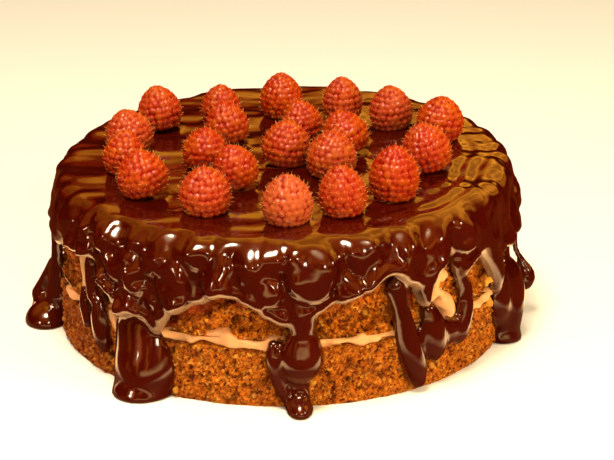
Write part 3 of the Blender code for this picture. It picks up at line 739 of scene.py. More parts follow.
def layer_shell(name, heights, wall, setback, lift, columns, side_rows):
    """A closed layer: a finely divided side between a flat bottom and top, set back under the drape's edge,
    with a mark for painted shadow there and painted shade round the left side.
    """
    turns = np.linspace(0.0, math.tau, columns, endpoint=False)
    edges = [edge_height(math.degrees(turn)) for turn in turns]
    points = []
    side = []
    painted_shade = []
    for row, height in enumerate(heights):
        for turn, edge in zip(turns, edges):
            x, y = math.sin(turn), -math.cos(turn)
            # Painted shade: the crumb darkened round the left side
            off = (math.degrees(turn) - DARK_SIDE_ANGLE + 180.0) % 360.0 - 180.0
            dark_side = DARK_SIDE_SHARE * math.exp(-((off / DARK_SIDE_REACH) ** 2))
            radius = wall(height)
            z = height + lift(radius * x, radius * y, height)
            place_on = Vector((radius * x, radius * y, height))
            # Painted shadow just below the drape's edge, where the crumb is also set back
            wet = math.exp(-((max(0.0, edge - height) / UNDER_LIP_REACH) ** 2))
            back = setback(place_on, row) + UNDER_LIP_SETBACK * wet
            painted_shade.append(max(wet, dark_side))
            points.append(((radius - back) * x, (radius - back) * y, z))
            side.append(1.0 if side_rows[0] < row < side_rows[1] else 0.0)
    points += [(0.0, 0.0, heights[0]), (0.0, 0.0, heights[-1])]
    marks = {"side": side + [0.0, 0.0], "painted_shade": painted_shade + [0.0, 0.0]}
    return write_mesh(name, points, closed_faces(len(heights), columns), marks)


def crumb_tree():
    """Geometry Nodes: pits and grains over the side of a crumb layer, a mark for painted shade in its
    hollows, and loose grains and nuts on it.
    """
    inputs = (
        ("Grain Size", "Float"), ("Relief", "Float"), ("Lumps", "Float"), ("Lump Size", "Float"),
        ("Grain Density", "Float"), ("Nut Density", "Float"), ("Seed", "Int"), ("Material", "Material"),
    )
    tree, ins = new_tree("crumb_relief", inputs)
    side = read_mark(tree, "side")
    spot = place(tree, "GeometryNodeInputPosition").outputs[0]
    facing = place(tree, "GeometryNodeInputNormal").outputs[0]
    grain_scale = maths(tree, "DIVIDE", 1.0, ins["Grain Size"])
    lump_scale = maths(tree, "DIVIDE", 1.0, ins["Lump Size"])
    hollows = []
    for scale in (grain_scale, times(tree, grain_scale, 2.3)):
        cells = place(tree, "ShaderNodeTexVoronoi", {"Vector": spot, "Scale": scale, "Randomness": 1.0})
        hollows.append(ranged(tree, cells.outputs["Distance"], 0.15, 0.85))
    lumps = noise_at(tree, spot, lump_scale, 4.0, Roughness=0.6)
    holes = noise_at(tree, spot, times(tree, lump_scale, 2.1), 2.0)
    lump_height = times(tree, maths(tree, "SUBTRACT", lumps, 0.5), ins["Lumps"])
    sunk = maths(tree, "ADD", times(tree, hollows[0], 0.75), times(tree, hollows[1], 0.30))
    sunk = maths(tree, "ADD", sunk, times(tree, ranged(tree, holes, 0.57, 0.70), 1.5))
    depth = times(tree, maths(tree, "SUBTRACT", 0.45, sunk), ins["Relief"])
    push = times(tree, maths(tree, "ADD", depth, lump_height), side)
    moved = push_points(tree, ins["Geometry"], scaled(tree, facing, push))
    # Painted shade: a mark that darkens the crumb in its hollows and in the valleys between its lumps
    pit = maths(tree, "MAXIMUM", ranged(tree, sunk, 0.55, 1.55), ranged(tree, lumps, 0.45, 0.31))
    pitted = store_mark(tree, moved, "pit", pit)
    parts = [pitted]
    rough = noise_at(tree, spot, 900.0, 1.0)
    dent = scaled(tree, facing, times(tree, maths(tree, "SUBTRACT", rough, 0.5), 0.0007))
    for nut, count, low, high, subdivisions in LOOSE_PIECES:
        seed = maths(tree, "ADD", ins["Seed"], 10.0 + nut)
        spread = place(
            tree, "GeometryNodeDistributePointsOnFaces",
            {"Mesh": pitted, "Density": times(tree, ins[count], side), "Seed": seed},
        )
        ball = place(tree, "GeometryNodeMeshIcoSphere", {"Radius": 1.0, "Subdivisions": subdivisions})
        size = any_number(tree, low, high, 3)
        squash = any_vector(tree, (0.7, 0.7, 0.6), (1.25, 1.1, 1.0), 4)
        turn = any_vector(tree, (0.0, 0.0, 0.0), (6.28, 6.28, 6.28), 5)
        scattered = place(
            tree, "GeometryNodeInstanceOnPoints",
            {"Points": spread.outputs[0], "Instance": ball.outputs[0], "Rotation": turn,
             "Scale": scaled(tree, squash, size)},
        )
        real = place(tree, "GeometryNodeRealizeInstances", {"Geometry": scattered.outputs[0]})
        parts.append(store_mark(tree, push_points(tree, real.outputs[0], dent), "nut", nut))
    joined = tree.nodes.new("GeometryNodeJoinGeometry")
    for part in parts:
        tree.links.new(part, joined.inputs[0])
    end_tree(tree, joined.outputs[0], ins["Material"])
    return tree


def nut_nub(angle, height, radius, material):
    """A round nut piece half sunk in the side."""
    bpy.ops.mesh.primitive_ico_sphere_add(subdivisions=3, radius=radius * MM)
    nub = bpy.context.object
    centre = on_side(angle, height, CAKE_RADIUS - 0.4 * radius)
    for vertex in nub.data.vertices:
        dent = 1.0 + 0.45 * noise.noise(vertex.co * 600.0 + Vector((angle, 0.0, 0.0)))
        vertex.co = vertex.co * dent + Vector(centre) * MM
    nut = nub.data.attributes.new("nut", "FLOAT", "POINT")
    nut.data.foreach_set("value", [1.0] * len(nub.data.vertices))
    nub.data.materials.append(material)
    nub.data.shade_smooth()
    return nub


class TORTE_OT_crumb(bpy.types.Operator):
    """Build the two crumb layers with their pitted, craggy sides"""

    bl_idname = "torte.crumb"
    bl_label = "Crumb Layers"

    def execute(self, context):
        settings = context.scene.torte_crumb
        tree = crumb_tree()
        material = crumb_material(settings)
        lower_rows = [0.0, 0.5, 1.2] + list(np.linspace(2.0, CREAM_BOTTOM - 0.3, 32))
        last = len(lower_rows) - 1
        lower = layer_shell(
            "lower_crumb", lower_rows,
            lambda height: CAKE_RADIUS - 1.0 * max(0.0, 1.0 - height / 3.0) ** 2,
            lambda point, row: crags(point, LOWER_CRAGS) * (END_CRAGS if row in (0, last) else 1.0),
            lambda x, y, height: cream_line(x, y) * smooth_step(min(1.0, height / 25.0)),
            CRUMB_COLUMNS, (1, last),
        )
        drive(
            lower, tree, Grain_Size=settings.grain, Relief=settings.relief, Seed=1, Material=material,
            **LOWER_CRUMB,
        )
        side_rows = list(np.linspace(UPPER_BOTTOM, 60.0, 42))
        upper_rows = side_rows + [63.5, 68.0, 71.3, CRUMB_TOP]
        end = len(side_rows)

        def set_back(point, row):
            return crags(point, UPPER_CRAGS) * (END_CRAGS if row in (0, end) else 1.0) + crevice(point)

        def lift(x, y, height):
            share = (height - UPPER_BOTTOM) / (CRUMB_TOP - UPPER_BOTTOM)
            return share * rise(x, y) + (1.0 - share) * cream_line(x, y)

        upper = layer_shell("upper_crumb", upper_rows, upper_wall, set_back, lift, CRUMB_COLUMNS, (0, end))
        drive(
            upper, tree, Grain_Size=settings.grain * UPPER_COARSER, Relief=settings.relief * UPPER_DEEPER,
            Seed=2, Material=material, **UPPER_CRUMB,
        )
        for nub in NUT_NUBS:
            join_into(upper, nut_nub(*nub, material))
        for piece, node in ((lower, "torte_lower"), (upper, "torte_upper")):
            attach(piece, "root")
            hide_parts(node)
        return {"FINISHED"}


# Signed distances

class Skin:
    """Signed distances in mm on a regular grid, negative inside, from which a closed skin is drawn."""

    def __init__(self, low, high, step):
        self.low = np.array(low, np.float32)
        self.step = float(step)
        axes = [np.arange(start, stop, step, dtype=np.float32) for start, stop in zip(low, high)]
        self.axes = axes
        self.x = axes[0][:, None, None]
        self.y = axes[1][None, :, None]
        self.z = axes[2][None, None, :]
        self.value = np.full([len(axis) for axis in axes], 50.0, np.float32)

    def window(self, low, high):
        """Slices of the grid between two corners."""
        cut = []
        for axis, start, stop in zip(self.axes, low, high):
            first = max(0, int((start - axis[0]) / self.step))
            last = min(len(axis), int((stop - axis[0]) / self.step) + 2)
            cut.append(slice(first, max(first + 1, last)))
        return tuple(cut)

    def places(self, cut):
        """The places of a window, as arrays that spread over it."""
        return self.x[cut[0]], self.y[:, cut[1]], self.z[:, :, cut[2]]

    def merge(self, cut, distance, soft):
        """Run a form into the skin, with a soft seam of the given size."""
        here = self.value[cut]
        share = np.clip(0.5 + 0.5 * (here - distance) / soft, 0.0, 1.0)
        self.value[cut] = here + (distance - here) * share - soft * share * (1.0 - share)

    def add_run(self, places, radii, soft):
        """A round run through places, each with its own radius."""
        places = np.asarray(places, np.float32)
        radii = np.asarray(radii, np.float32)
        reach = radii[:, None] + 2.0 * soft + 2.0
        cut = self.window((places - reach).min(0), (places + reach).max(0))
        x, y, z = self.places(cut)
        best = np.full(self.value[cut].shape, 1e6, np.float32)
        for (a, b, c), radius in zip(places, radii):
            gap = np.sqrt((x - a) ** 2 + (y - b) ** 2 + (z - c) ** 2) - radius
            np.minimum(best, gap, out=best)
        self.merge(cut, best, soft)

    def add_pool(self, centre, along, half_width, half_depth, height, soft):
        """A low mound on the table, its width running along a direction."""
        across = np.array((-along[1], along[0]))
        reach = max(half_width, half_depth, height) + 2.0 * soft + 2.0
        low = (centre[0] - reach, centre[1] - reach, -reach)
        high = (centre[0] + reach, centre[1] + reach, height + 2.0 * soft + 2.0)
        cut = self.window(low, high)
        x, y, z = self.places(cut)
        x, y = x - centre[0], y - centre[1]
        u = (x * along[0] + y * along[1]) / half_width
        v = (x * across[0] + y * across[1]) / half_depth
        w = z / height
        size = np.sqrt(u * u + v * v + w * w)
        steep = np.sqrt((u / half_width) ** 2 + (v / half_depth) ** 2 + (w / height) ** 2) + 1e-6
        self.merge(cut, (size * (size - 1.0) / steep).astype(np.float32), soft)

    def draw(self, name):
        """The closed skin at distance zero, its points pulled onto the true surface."""
        grid = openvdb.FloatGrid(3.0)
        grid.copyFromArray(np.clip(self.value, -3.0, 3.0).astype(np.float32))
        spots, quads = grid.convertToQuads()
        for _ in range(2):
            here, slope = self.sample(spots)
            steep = np.maximum((slope ** 2).sum(1, keepdims=True), 0.05)
            spots = spots - np.clip(here[:, None] / steep, -0.5, 0.5) * slope
        return write_mesh(name, self.low + spots * self.step, quads[:, ::-1].tolist())

    def sample(self, spots):
        """Distance and its slope, both in grid steps, at places given in grid steps."""
        limit = np.array(self.value.shape) - 2
        base = np.clip(np.floor(spots).astype(int), 0, limit)
        part = np.clip(spots - base, 0.0, 1.0)
        total = np.zeros(len(spots))
        slope = np.zeros((len(spots), 3))
        for corner in np.ndindex(2, 2, 2):
            pick = base + corner
            value = self.value[pick[:, 0], pick[:, 1], pick[:, 2]] / self.step
            weights = [part[:, axis] if corner[axis] else 1.0 - part[:, axis] for axis in range(3)]
            total += value * weights[0] * weights[1] * weights[2]
            for axis in range(3):
                others = weights[(axis + 1) % 3] * weights[(axis + 2) % 3]
                slope[:, axis] += value * others * (1.0 if corner[axis] else -1.0)
        return total, slope


def smooth_path(points, spacing=0.9):
    """Places along a smooth curve through the given rows of numbers, evenly spaced."""
    rows = np.asarray(points, float)
    padded = np.vstack((2 * rows[0] - rows[1], rows, 2 * rows[-1] - rows[-2]))
    out = [rows[0]]
    for index in range(len(rows) - 1):
        a, b, c, d = padded[index:index + 4]
        steps = max(2, int(np.linalg.norm(c[:3] - b[:3]) / spacing))
        for step in range(1, steps + 1):
            t = step / steps
            out.append(0.5 * (2 * b + (c - a) * t + (2 * a - 5 * b + 4 * c - d) * t ** 2
                              + (3 * b - a - 3 * c + d) * t ** 3))
    return np.array(out)


def round_corner(first, second, corner):
    """Distance from a body whose two faces meet in a round corner, from the distances past each face."""
    a, b = first + corner, second + corner
    return np.minimum(np.maximum(a, b), 0.0) + np.hypot(np.maximum(a, 0.0), np.maximum(b, 0.0)) - corner


def waves(first, second, seed, length, count=10):
    """A smooth random field from sine waves of about the given length, between about -1 and 1."""
    draw = np.random.default_rng(seed)
    total = 0.0
    for _ in range(count):
        heading = draw.uniform(0.0, math.tau)
        pace = math.tau / (length * draw.uniform(0.7, 1.5))
        phase = draw.uniform(0.0, math.tau)
        total = total + np.sin(pace * (first * math.cos(heading) + second * math.sin(heading)) + phase)
    return total / math.sqrt(count)


# Ganache

def pour_surface(x, y):
    """Height of the ganache's top over places, with its slow waves, flow lines and rims round the berries."""
    radius = np.hypot(x, y)
    angle = np.degrees(np.arctan2(x, -y))
    top = GANACHE_TOP + rise(x, y)
    top = top + 0.42 * waves(0.6 * x, y, 21, 32.0)
    bend = 3.0 * waves(x, y, 5, 60.0)
    top = top + 0.21 * waves(0.20 * x, y + bend, 8, 9.0)
    fold = np.exp(-((angle - 62.0) / 38.0) ** 2) * np.exp(-((radius - 84.0) / 11.0) ** 2)
    top = top + 0.50 * fold * np.sin(radius * 0.75 + 0.9 * waves(x, y, 13, 40.0))
    for right, back, width, *_ in RASPBERRIES:
        away = np.hypot(x - right, y - back) - 0.40 * width
        top = top + 0.55 * np.exp(-(away / 1.6) ** 2)
    return top


def edge_distance(angles, heights):
    """Distance below the drape's lower edge in the unrolled side, for angles by heights."""
    edge = np.array([edge_height(angle) for angle in angles])
    pace = math.radians(angles[1] - angles[0]) * GANACHE_RADIUS
    best = np.full((len(angles), len(heights)), 1e6)
    reach = int(18.0 / pace)
    for shift in range(-reach, reach + 1):
        gap = np.hypot(shift * pace, heights[None, :] - np.roll(edge, -shift)[:, None])
        np.minimum(best, gap, out=best)
    return np.where(heights[None, :] < edge[:, None], best, -best).astype(np.float32)


def add_cap(skin, folds):
    """The poured cap with its round shoulder and its drape down to the uneven lower edge."""
    x, y, z = skin.x, skin.y, skin.z
    radius = np.hypot(x, y)
    angle = np.degrees(np.arctan2(x, -y))
    pace = 0.15
    angles = np.arange(-180.0, 180.0, pace)
    heights = skin.axes[2].astype(float)
    level = heights[None, :]
    below = edge_distance(angles, heights)
    across = np.radians(angles)[:, None] * GANACHE_RADIUS
    swell = 0.60 * waves(across, 0.6 * level, 3, 24.0) + 0.95 * waves(across, 0.8 * level, 4, 13.0)
    swell = swell + 1.3 * np.exp(-((below + 3.4) / 2.9) ** 2)
    crumple = 0.12 + 0.60 * np.exp(-((angles[:, None] + 42.0) / 22.0) ** 2)
    swell = swell + crumple * (waves(across, level, 6, 9.0) + 0.45 * waves(across, level, 7, 5.5))
    swell = swell + fold_relief(angles, heights, folds)
    column = (angle[:, :, 0] + 180.0) / pace
    first = np.floor(column).astype(int)
    part = (column - first)[:, :, None].astype(np.float32)
    count = len(angles)

    def on_grid(table):
        return table[first % count] * (1 - part) + table[(first + 1) % count] * part

    out = on_grid(swell.astype(np.float32))
    below = on_grid(below)
    sag = 2.6 * smooth_step(np.clip((72.0 - z) / 34.0, 0.0, 1.0)) - 2.0
    top = z - pour_surface(x, y).astype(np.float32)
    cap = round_corner(radius - (GANACHE_RADIUS + sag + out), top, GANACHE_SHOULDER)
    lip = 4.6
    share = np.clip(0.5 - 0.5 * (cap - below) / lip, 0.0, 1.0)
    skin.value = (cap + (below - cap) * share + lip * share * (1.0 - share)).astype(np.float32)


def hugging(drip, wall):
    """Places and radii of a run that gives each point of a drip its width and how far it stands proud."""
    rows = []
    for angle, height, proud, half_width in drip:
        radius = (proud ** 2 + half_width ** 2) / (2.0 * proud)
        rows.append((*on_side(angle, height, wall + proud - radius), radius))
    path = smooth_path(rows)
    return path[:, :3], path[:, 3]


def fold_relief(angles, heights, folds):
    """How far the folds lift the drape, over columns of angles by rows of heights."""
    lifted = np.zeros((len(angles), len(heights)))
    for fold in folds:
        for angle, height, proud, half_width in smooth_path(fold):
            turn = (angles - angle + 180.0) % 360.0 - 180.0
            near = np.abs(np.radians(turn)) * GANACHE_RADIUS < half_width
            away = np.radians(turn[near])[:, None] * GANACHE_RADIUS
            gap = (away ** 2 + (heights[None, :] - height) ** 2) / half_width ** 2
            dome = proud * np.sqrt(np.clip(1.0 - gap ** 1.5, 0.0, 1.0))
            lifted[near] = np.maximum(lifted[near], dome)
    return lifted


def drape_folds(count):
    """The folds seen at the front, and folds by a seeded rule round the rest of the drape."""
    draw = random.Random(FOLD_SEED)
    folds = list(FRONT_FOLDS)
    for index in range(count):
        angle = SIDE_FOLDS_FROM + SIDE_FOLDS_OVER * (index + draw.uniform(0.2, 0.8)) / count
        low = edge_height(angle) + draw.uniform(2.0, 8.0)
        high = min(SIDE_FOLDS_TOP, low + draw.uniform(8.0, 16.0))
        half_width = draw.uniform(4.5, 8.0)
        proud = draw.uniform(1.4, 2.6)
        drift = draw.uniform(-4.0, 4.0)
        folds.append((
            (angle + drift, high, 0.5 * proud, 0.8 * half_width),
            (angle + 0.4 * drift, 0.5 * (low + high), proud, half_width),
            (angle, low, 1.2 * proud, 0.8 * half_width),
        ))
    return folds


class TORTE_OT_ganache(bpy.types.Operator):
    """Build the poured ganache: cap, drape, folds, drips, strands and pools in one skin"""

    bl_idname = "torte.ganache"
    bl_label = "Ganache"

    def execute(self, context):
        settings = context.scene.torte_ganache
        skin = Skin(*GANACHE_BOX, settings.fineness / MM)
        add_cap(skin, drape_folds(settings.lobes))
        for drip in DRIPS + tuple(back_drips()):
            skin.add_run(*hugging(drip, CAKE_RADIUS - 0.2), soft=2.2)
        for strand in STRANDS:
            rows = []
            for angle, height, out, radius in strand:
                rows.append((*on_side(angle, height, CAKE_RADIUS + out), radius))
            path = smooth_path(rows)
            skin.add_run(path[:, :3], path[:, 3], soft=1.6)
        for angle, distance, half_width, half_depth, height in POOLS:
            centre = on_side(angle, 0.0, distance)
            along = (math.cos(math.radians(angle)), math.sin(math.radians(angle)))
            skin.add_pool(centre, along, half_width, half_depth, height, soft=2.5)
        tall = np.clip((skin.z - CREAM_TOP) / (CRUMB_TOP - CREAM_TOP), 0.0, 1.0)
        side = np.hypot(skin.x, skin.y) - (CAKE_RADIUS - 0.8 - 1.4 * tall)
        top = skin.z - (CRUMB_TOP + rise(skin.x, skin.y))
        skin.value = np.maximum(skin.value, -round_corner(side, top, CRUMB_SHOULDER)).astype(np.float32)
        skin.value = np.maximum(skin.value, 0.15 - skin.z).astype(np.float32)
        piece = skin.draw("poured_ganache")
        self.mark_lip(piece.data)
        piece.data.materials.append(ganache_material(settings))
        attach(piece, "root")
        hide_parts("ganache")
        return {"FINISHED"}

    def mark_lip(self, mesh):
        """Mark the points near the drape's lower edge, where the thick lip curls under and the material
        paints the pale floor reflection most strongly.
        """
        spots = np.empty(len(mesh.vertices) * 3, np.float32)
        mesh.vertices.foreach_get("co", spots)
        x, y, z = spots.reshape(-1, 3).T / MM
        turns = np.arange(-180.0, 181.0, 1.0)
        edges = np.interp(np.degrees(np.arctan2(x, -y)), turns, [edge_height(turn) for turn in turns])
        lip = np.exp(-(((z - edges - 1.0) / 5.0) ** 2))
        mesh.attributes.new("lip", "FLOAT", "POINT").data.foreach_set("value", lip.astype(np.float32))


# Cream

class TORTE_OT_cream(bpy.types.Operator):
    """Build the cream between the layers, with its squeezed-out edge and smears"""

    bl_idname = "torte.cream"
    bl_label = "Cream Filling"

    def execute(self, context):
        settings = context.scene.torte_cream
        wave = settings.wave / MM
        skin = Skin(*CREAM_BOX, CREAM_GRID)
        x, y, z = skin.x, skin.y, skin.z
        line = np.vectorize(cream_line)(x[:, :, 0], y[:, :, 0])[:, :, None]
        arch = np.exp(-((np.degrees(np.arctan2(x, -y)) + 15.0) / 4.5) ** 2)
        middle = 0.5 * (CREAM_BOTTOM + CREAM_TOP) + line + 1.8 * arch
        thick = 2.1 + 0.7 * waves(x, y, 31, 16.0) + 0.6 * arch
        rim = CAKE_RADIUS - 0.7 + wave * waves(x, y, 32, 18.0) + 0.4 * waves(x, y, 33, 7.0)
        skin.value = round_corner(np.hypot(x, y) - rim, np.abs(z - middle) - thick, 1.5).astype(np.float32)
        for smear in CREAM_SMEARS:
            skin.add_run(*hugging(smear, CAKE_RADIUS - 1.0), soft=1.0)
        rough = waves(x + 0.6 * z, y - 0.8 * z, 34, 6.0)
        skin.value = (skin.value + 0.45 * rough).astype(np.float32)
        piece = skin.draw("filling_cream")
        piece.data.materials.append(cream_material(settings))
        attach(piece, "root")
        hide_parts("cream_filling")
        return {"FINISHED"}


# Raspberries

def berry_profile(share):
    """Radius of a berry, as a share of its widest, from its foot to its tip."""
    if share < BERRY_WIDEST:
        fall = (BERRY_WIDEST - share) / BERRY_WIDEST
        return 1.0 - 0.20 * fall ** 2.2
    climb = (share - BERRY_WIDEST) / (1.0 - BERRY_WIDEST)
    return max(0.0, 1.0 - climb ** 1.85) ** 0.66


def berry_outline(width, height, relief):
    """Radius and height of the berry's body along its outline, evenly spaced, from foot to tip."""
    shrink = 0.5 * width - relief
    line = [(0.0, 0.0)]
    for step in range(201):
        share = 0.5 - 0.5 * math.cos(math.pi * step / 200)
        line.append((shrink * berry_profile(share), relief * 0.5 + (height - 1.3 * relief) * share))
    line = np.array(line)
    run = np.concatenate(([0.0], np.cumsum(np.hypot(*np.diff(line, axis=0).T))))
    return line, run


def along_outline(line, run, distances):
    return np.interp(distances, run, line[:, 0]), np.interp(distances, run, line[:, 1])


def berry_body(name, width, height, relief, spacing, seed):
    """The smooth body of a berry with, as loose points, the middles of its drupelets."""
    line, run = berry_outline(width, height, relief)
    columns, rings = 132, 66
    radii, levels = along_outline(line, run, np.linspace(0.0, run[-1], rings + 1)[1:-1])
    turns = np.linspace(0.0, math.tau, columns, endpoint=False)
    points = [(r * math.cos(t), r * math.sin(t), z) for r, z in zip(radii, levels) for t in turns]
    points += [(0.0, 0.0, line[0, 1]), (0.0, 0.0, line[-1, 1])]
    faces = closed_faces(len(radii), columns)
    draw = np.random.default_rng(seed)
    middles = []
    start = line[1, 0]
    rows = max(4, round((run[-1] - start) / (0.88 * spacing)))
    pace = (run[-1] - start) / (rows - 0.5)
    for row in range(rows + 1):
        distance = start + pace * (row - 0.5)
        if row == rows:
            distance = run[-1] - 0.2
        radius, level = along_outline(line, run, [max(0.3, distance)])
        around = max(1, round(math.tau * radius[0] / spacing))
        for index in range(around):
            turn = math.tau * (index + 0.5 * (row % 2) + draw.uniform(-0.14, 0.14)) / around
            off = draw.uniform(-0.16, 0.16) * spacing
            r, z = along_outline(line, run, [max(0.3, min(run[-1], distance + off))])
            middles.append((r[0] * math.cos(turn), r[0] * math.sin(turn), z[0]))
    marks = [0.0] * len(points) + [1.0] * len(middles)
    bloom = 1.0 if seed == BERRY_SEED + BLOOMING_BERRY else 0.5 * draw.random() ** 2
    return write_mesh(name, points + middles, faces, {"drupelet": marks, "bloom": [bloom] * len(marks)})


def split_berry(tree, ins):
    """Nodes that part a berry's smooth body from the middles of its drupelets."""
    feeds = {0: read_mark(tree, "drupelet"), 1: 0.5}
    chosen = place(tree, "FunctionNodeCompare", feeds, data_type="FLOAT", operation="GREATER_THAN").outputs[0]
    feeds = {"Geometry": ins["Geometry"], "Selection": chosen}
    parted = place(tree, "GeometryNodeSeparateGeometry", feeds, domain="POINT")
    return parted.outputs[1], parted.outputs[0]


def drupelet_tree():
    """Geometry Nodes: swell a berry's body into a round drupelet over each middle."""
    inputs = (("Drupelet Width", "Float"), ("Relief", "Float"), ("Seed", "Int"), ("Material", "Material"))
    tree, ins = new_tree("drupelets", inputs)
    body, middles = split_berry(tree, ins)
    spot = place(tree, "GeometryNodeInputPosition").outputs[0]
    facing = place(tree, "GeometryNodeInputNormal").outputs[0]
    feeds = {"Geometry": middles, "Sample Position": spot}
    nearest = place(tree, "GeometryNodeSampleNearest", feeds).outputs[0]
    feeds = {"Geometry": middles, "Value": spot, "Index": nearest}
    sampled = place(tree, "GeometryNodeSampleIndex", feeds, data_type="FLOAT_VECTOR", domain="POINT")
    away = vectors(tree, "DISTANCE", spot, sampled.outputs[0])
    reach = times(tree, ins["Drupelet Width"], any_number(tree, 0.52, 0.62, ins["Seed"], ID=nearest))
    share = maths(tree, "MINIMUM", maths(tree, "DIVIDE", away, reach), 1.0)
    dome = maths(tree, "SQRT", maths(tree, "SUBTRACT", 1.0, times(tree, share, share)))
    moved = push_points(tree, body, scaled(tree, facing, times(tree, dome, ins["Relief"])))
    # Painted shade: a mark for darker red in the creases between the drupelets
    marked = store_mark(tree, moved, "crease", ranged(tree, dome, 0.48, 0.0))
    shaded = store_mark(tree, marked, "shade", any_number(tree, 0.0, 1.0, ins["Seed"], ID=nearest))
    end_tree(tree, shaded, ins["Material"])
    return tree


def hair_tree():
    """Geometry Nodes: one dry style standing on each drupelet."""
    inputs = (("Length", "Float"), ("Relief", "Float"), ("Seed", "Int"), ("Material", "Material"))
    tree, ins = new_tree("dry_styles", inputs)
    _, middles = split_berry(tree, ins)
    spot = place(tree, "GeometryNodeInputPosition").outputs[0]
    heart = vectors(tree, "MULTIPLY", spot, (0.0, 0.0, 0.35))
    outward = vectors(tree, "NORMALIZE", vectors(tree, "SUBTRACT", spot, heart))
    stray = any_vector(tree, (-0.6, -0.6, -0.5), (0.6, 0.6, 0.9), ins["Seed"])
    heading = vectors(tree, "ADD", outward, stray)
    turn = place(tree, "FunctionNodeAlignRotationToVector", {"Vector": heading}, axis="Z").outputs[0]
    points = place(tree, "GeometryNodeMeshToPoints", {"Mesh": middles}).outputs[0]
    lifted = push_points(tree, points, scaled(tree, outward, times(tree, ins["Relief"], 0.85)))
    hair = place(
        tree, "GeometryNodeMeshCone",
        {"Vertices": 3, "Radius Top": 0.00003, "Radius Bottom": 0.00009, "Depth": ins["Length"]},
    ).outputs["Mesh"]
    length = any_number(tree, 0.4, 1.1, ins["Seed"])
    size = place(tree, "ShaderNodeCombineXYZ", {0: 1.0, 1: 1.0, 2: length}).outputs[0]
    feeds = {"Points": lifted, "Instance": hair, "Rotation": turn, "Scale": size}
    end_tree(tree, place(tree, "GeometryNodeInstanceOnPoints", feeds).outputs[0], ins["Material"])
    return tree


def turned(degrees, axis):
    return Matrix.Rotation(math.radians(degrees), 4, axis)


def berry_turn(index, lean_right, lean_back):
    """How a berry is turned: with the leaning top, by its own lean, and round its own axis."""
    slope_back = Matrix.Rotation(math.atan(RISE_TO_BACK), 4, "X")
    slope_right = Matrix.Rotation(-math.atan(RISE_TO_RIGHT), 4, "Y")
    lean = turned(lean_right, "Y") @ turned(-lean_back, "X")
    return slope_back @ slope_right @ lean @ turned(37.0 * index, "Z")


class TORTE_OT_raspberries(bpy.types.Operator):
    """Build the raspberries with their drupelets and dry styles"""

    bl_idname = "torte.raspberries"
    bl_label = "Raspberries"

    def execute(self, context):
        settings = context.scene.torte_berries
        skin_tree, style_tree = drupelet_tree(), hair_tree()
        skin_finish, style_finish = berry_material(settings), hair_material()
        relief = settings.relief / MM
        spacing = settings.drupelet / MM
        all_styles = None
        for index, (node, berry) in enumerate(zip(BERRY_NAMES, RASPBERRIES), 1):
            right, back, width, height, lean_right, lean_back = berry
            body = berry_body("fruit_" + node, width, height, relief, spacing, BERRY_SEED + index)
            styles = bpy.data.objects.new("styles_" + node, body.data.copy())
            context.scene.collection.objects.link(styles)
            drive(body, skin_tree, Drupelet_Width=settings.drupelet, Relief=settings.relief, Seed=index,
                  Material=skin_finish)
            drive(styles, style_tree, Length=settings.hair, Relief=settings.relief, Seed=index,
                  Material=style_finish)
            turn = berry_turn(index, lean_right, lean_back)
            body.data.transform(turn)
            lowest = min(vertex.co.z for vertex in body.data.vertices)
            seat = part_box(node)[0].z - 0.0005 - lowest
            shift = Matrix.Translation((right * MM, back * MM, seat))
            body.data.transform(shift)
            styles.data.transform(shift @ turn)
            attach(body, "root")
            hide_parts(node)
            if all_styles is None:
                all_styles = styles
                all_styles.name = "raspberry_styles"
            else:
                join_into(all_styles, styles)
        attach(all_styles, "root")
        return {"FINISHED"}


def join_into(whole, part):
    """Put one mesh object into another with the same material, and remove it."""
    both = [whole, part]
    with bpy.context.temp_override(
        active_object=whole, object=whole, selected_objects=both, selected_editable_objects=both
    ):
        bpy.ops.object.join()


# Stage

def add_area_light(name, place_at, aim, size, power, colour):
    light = bpy.data.lights.new(name, "AREA")
    light.shape = "DISK"
    light.size = size
    light.energy = power
    light.color = colour
    holder = bpy.data.objects.new(name, light)
    holder.location = place_at
    holder.rotation_euler = (Vector(aim) - Vector(place_at)).to_track_quat("-Z", "Y").to_euler()
    bpy.context.scene.collection.objects.link(holder)
    return holder


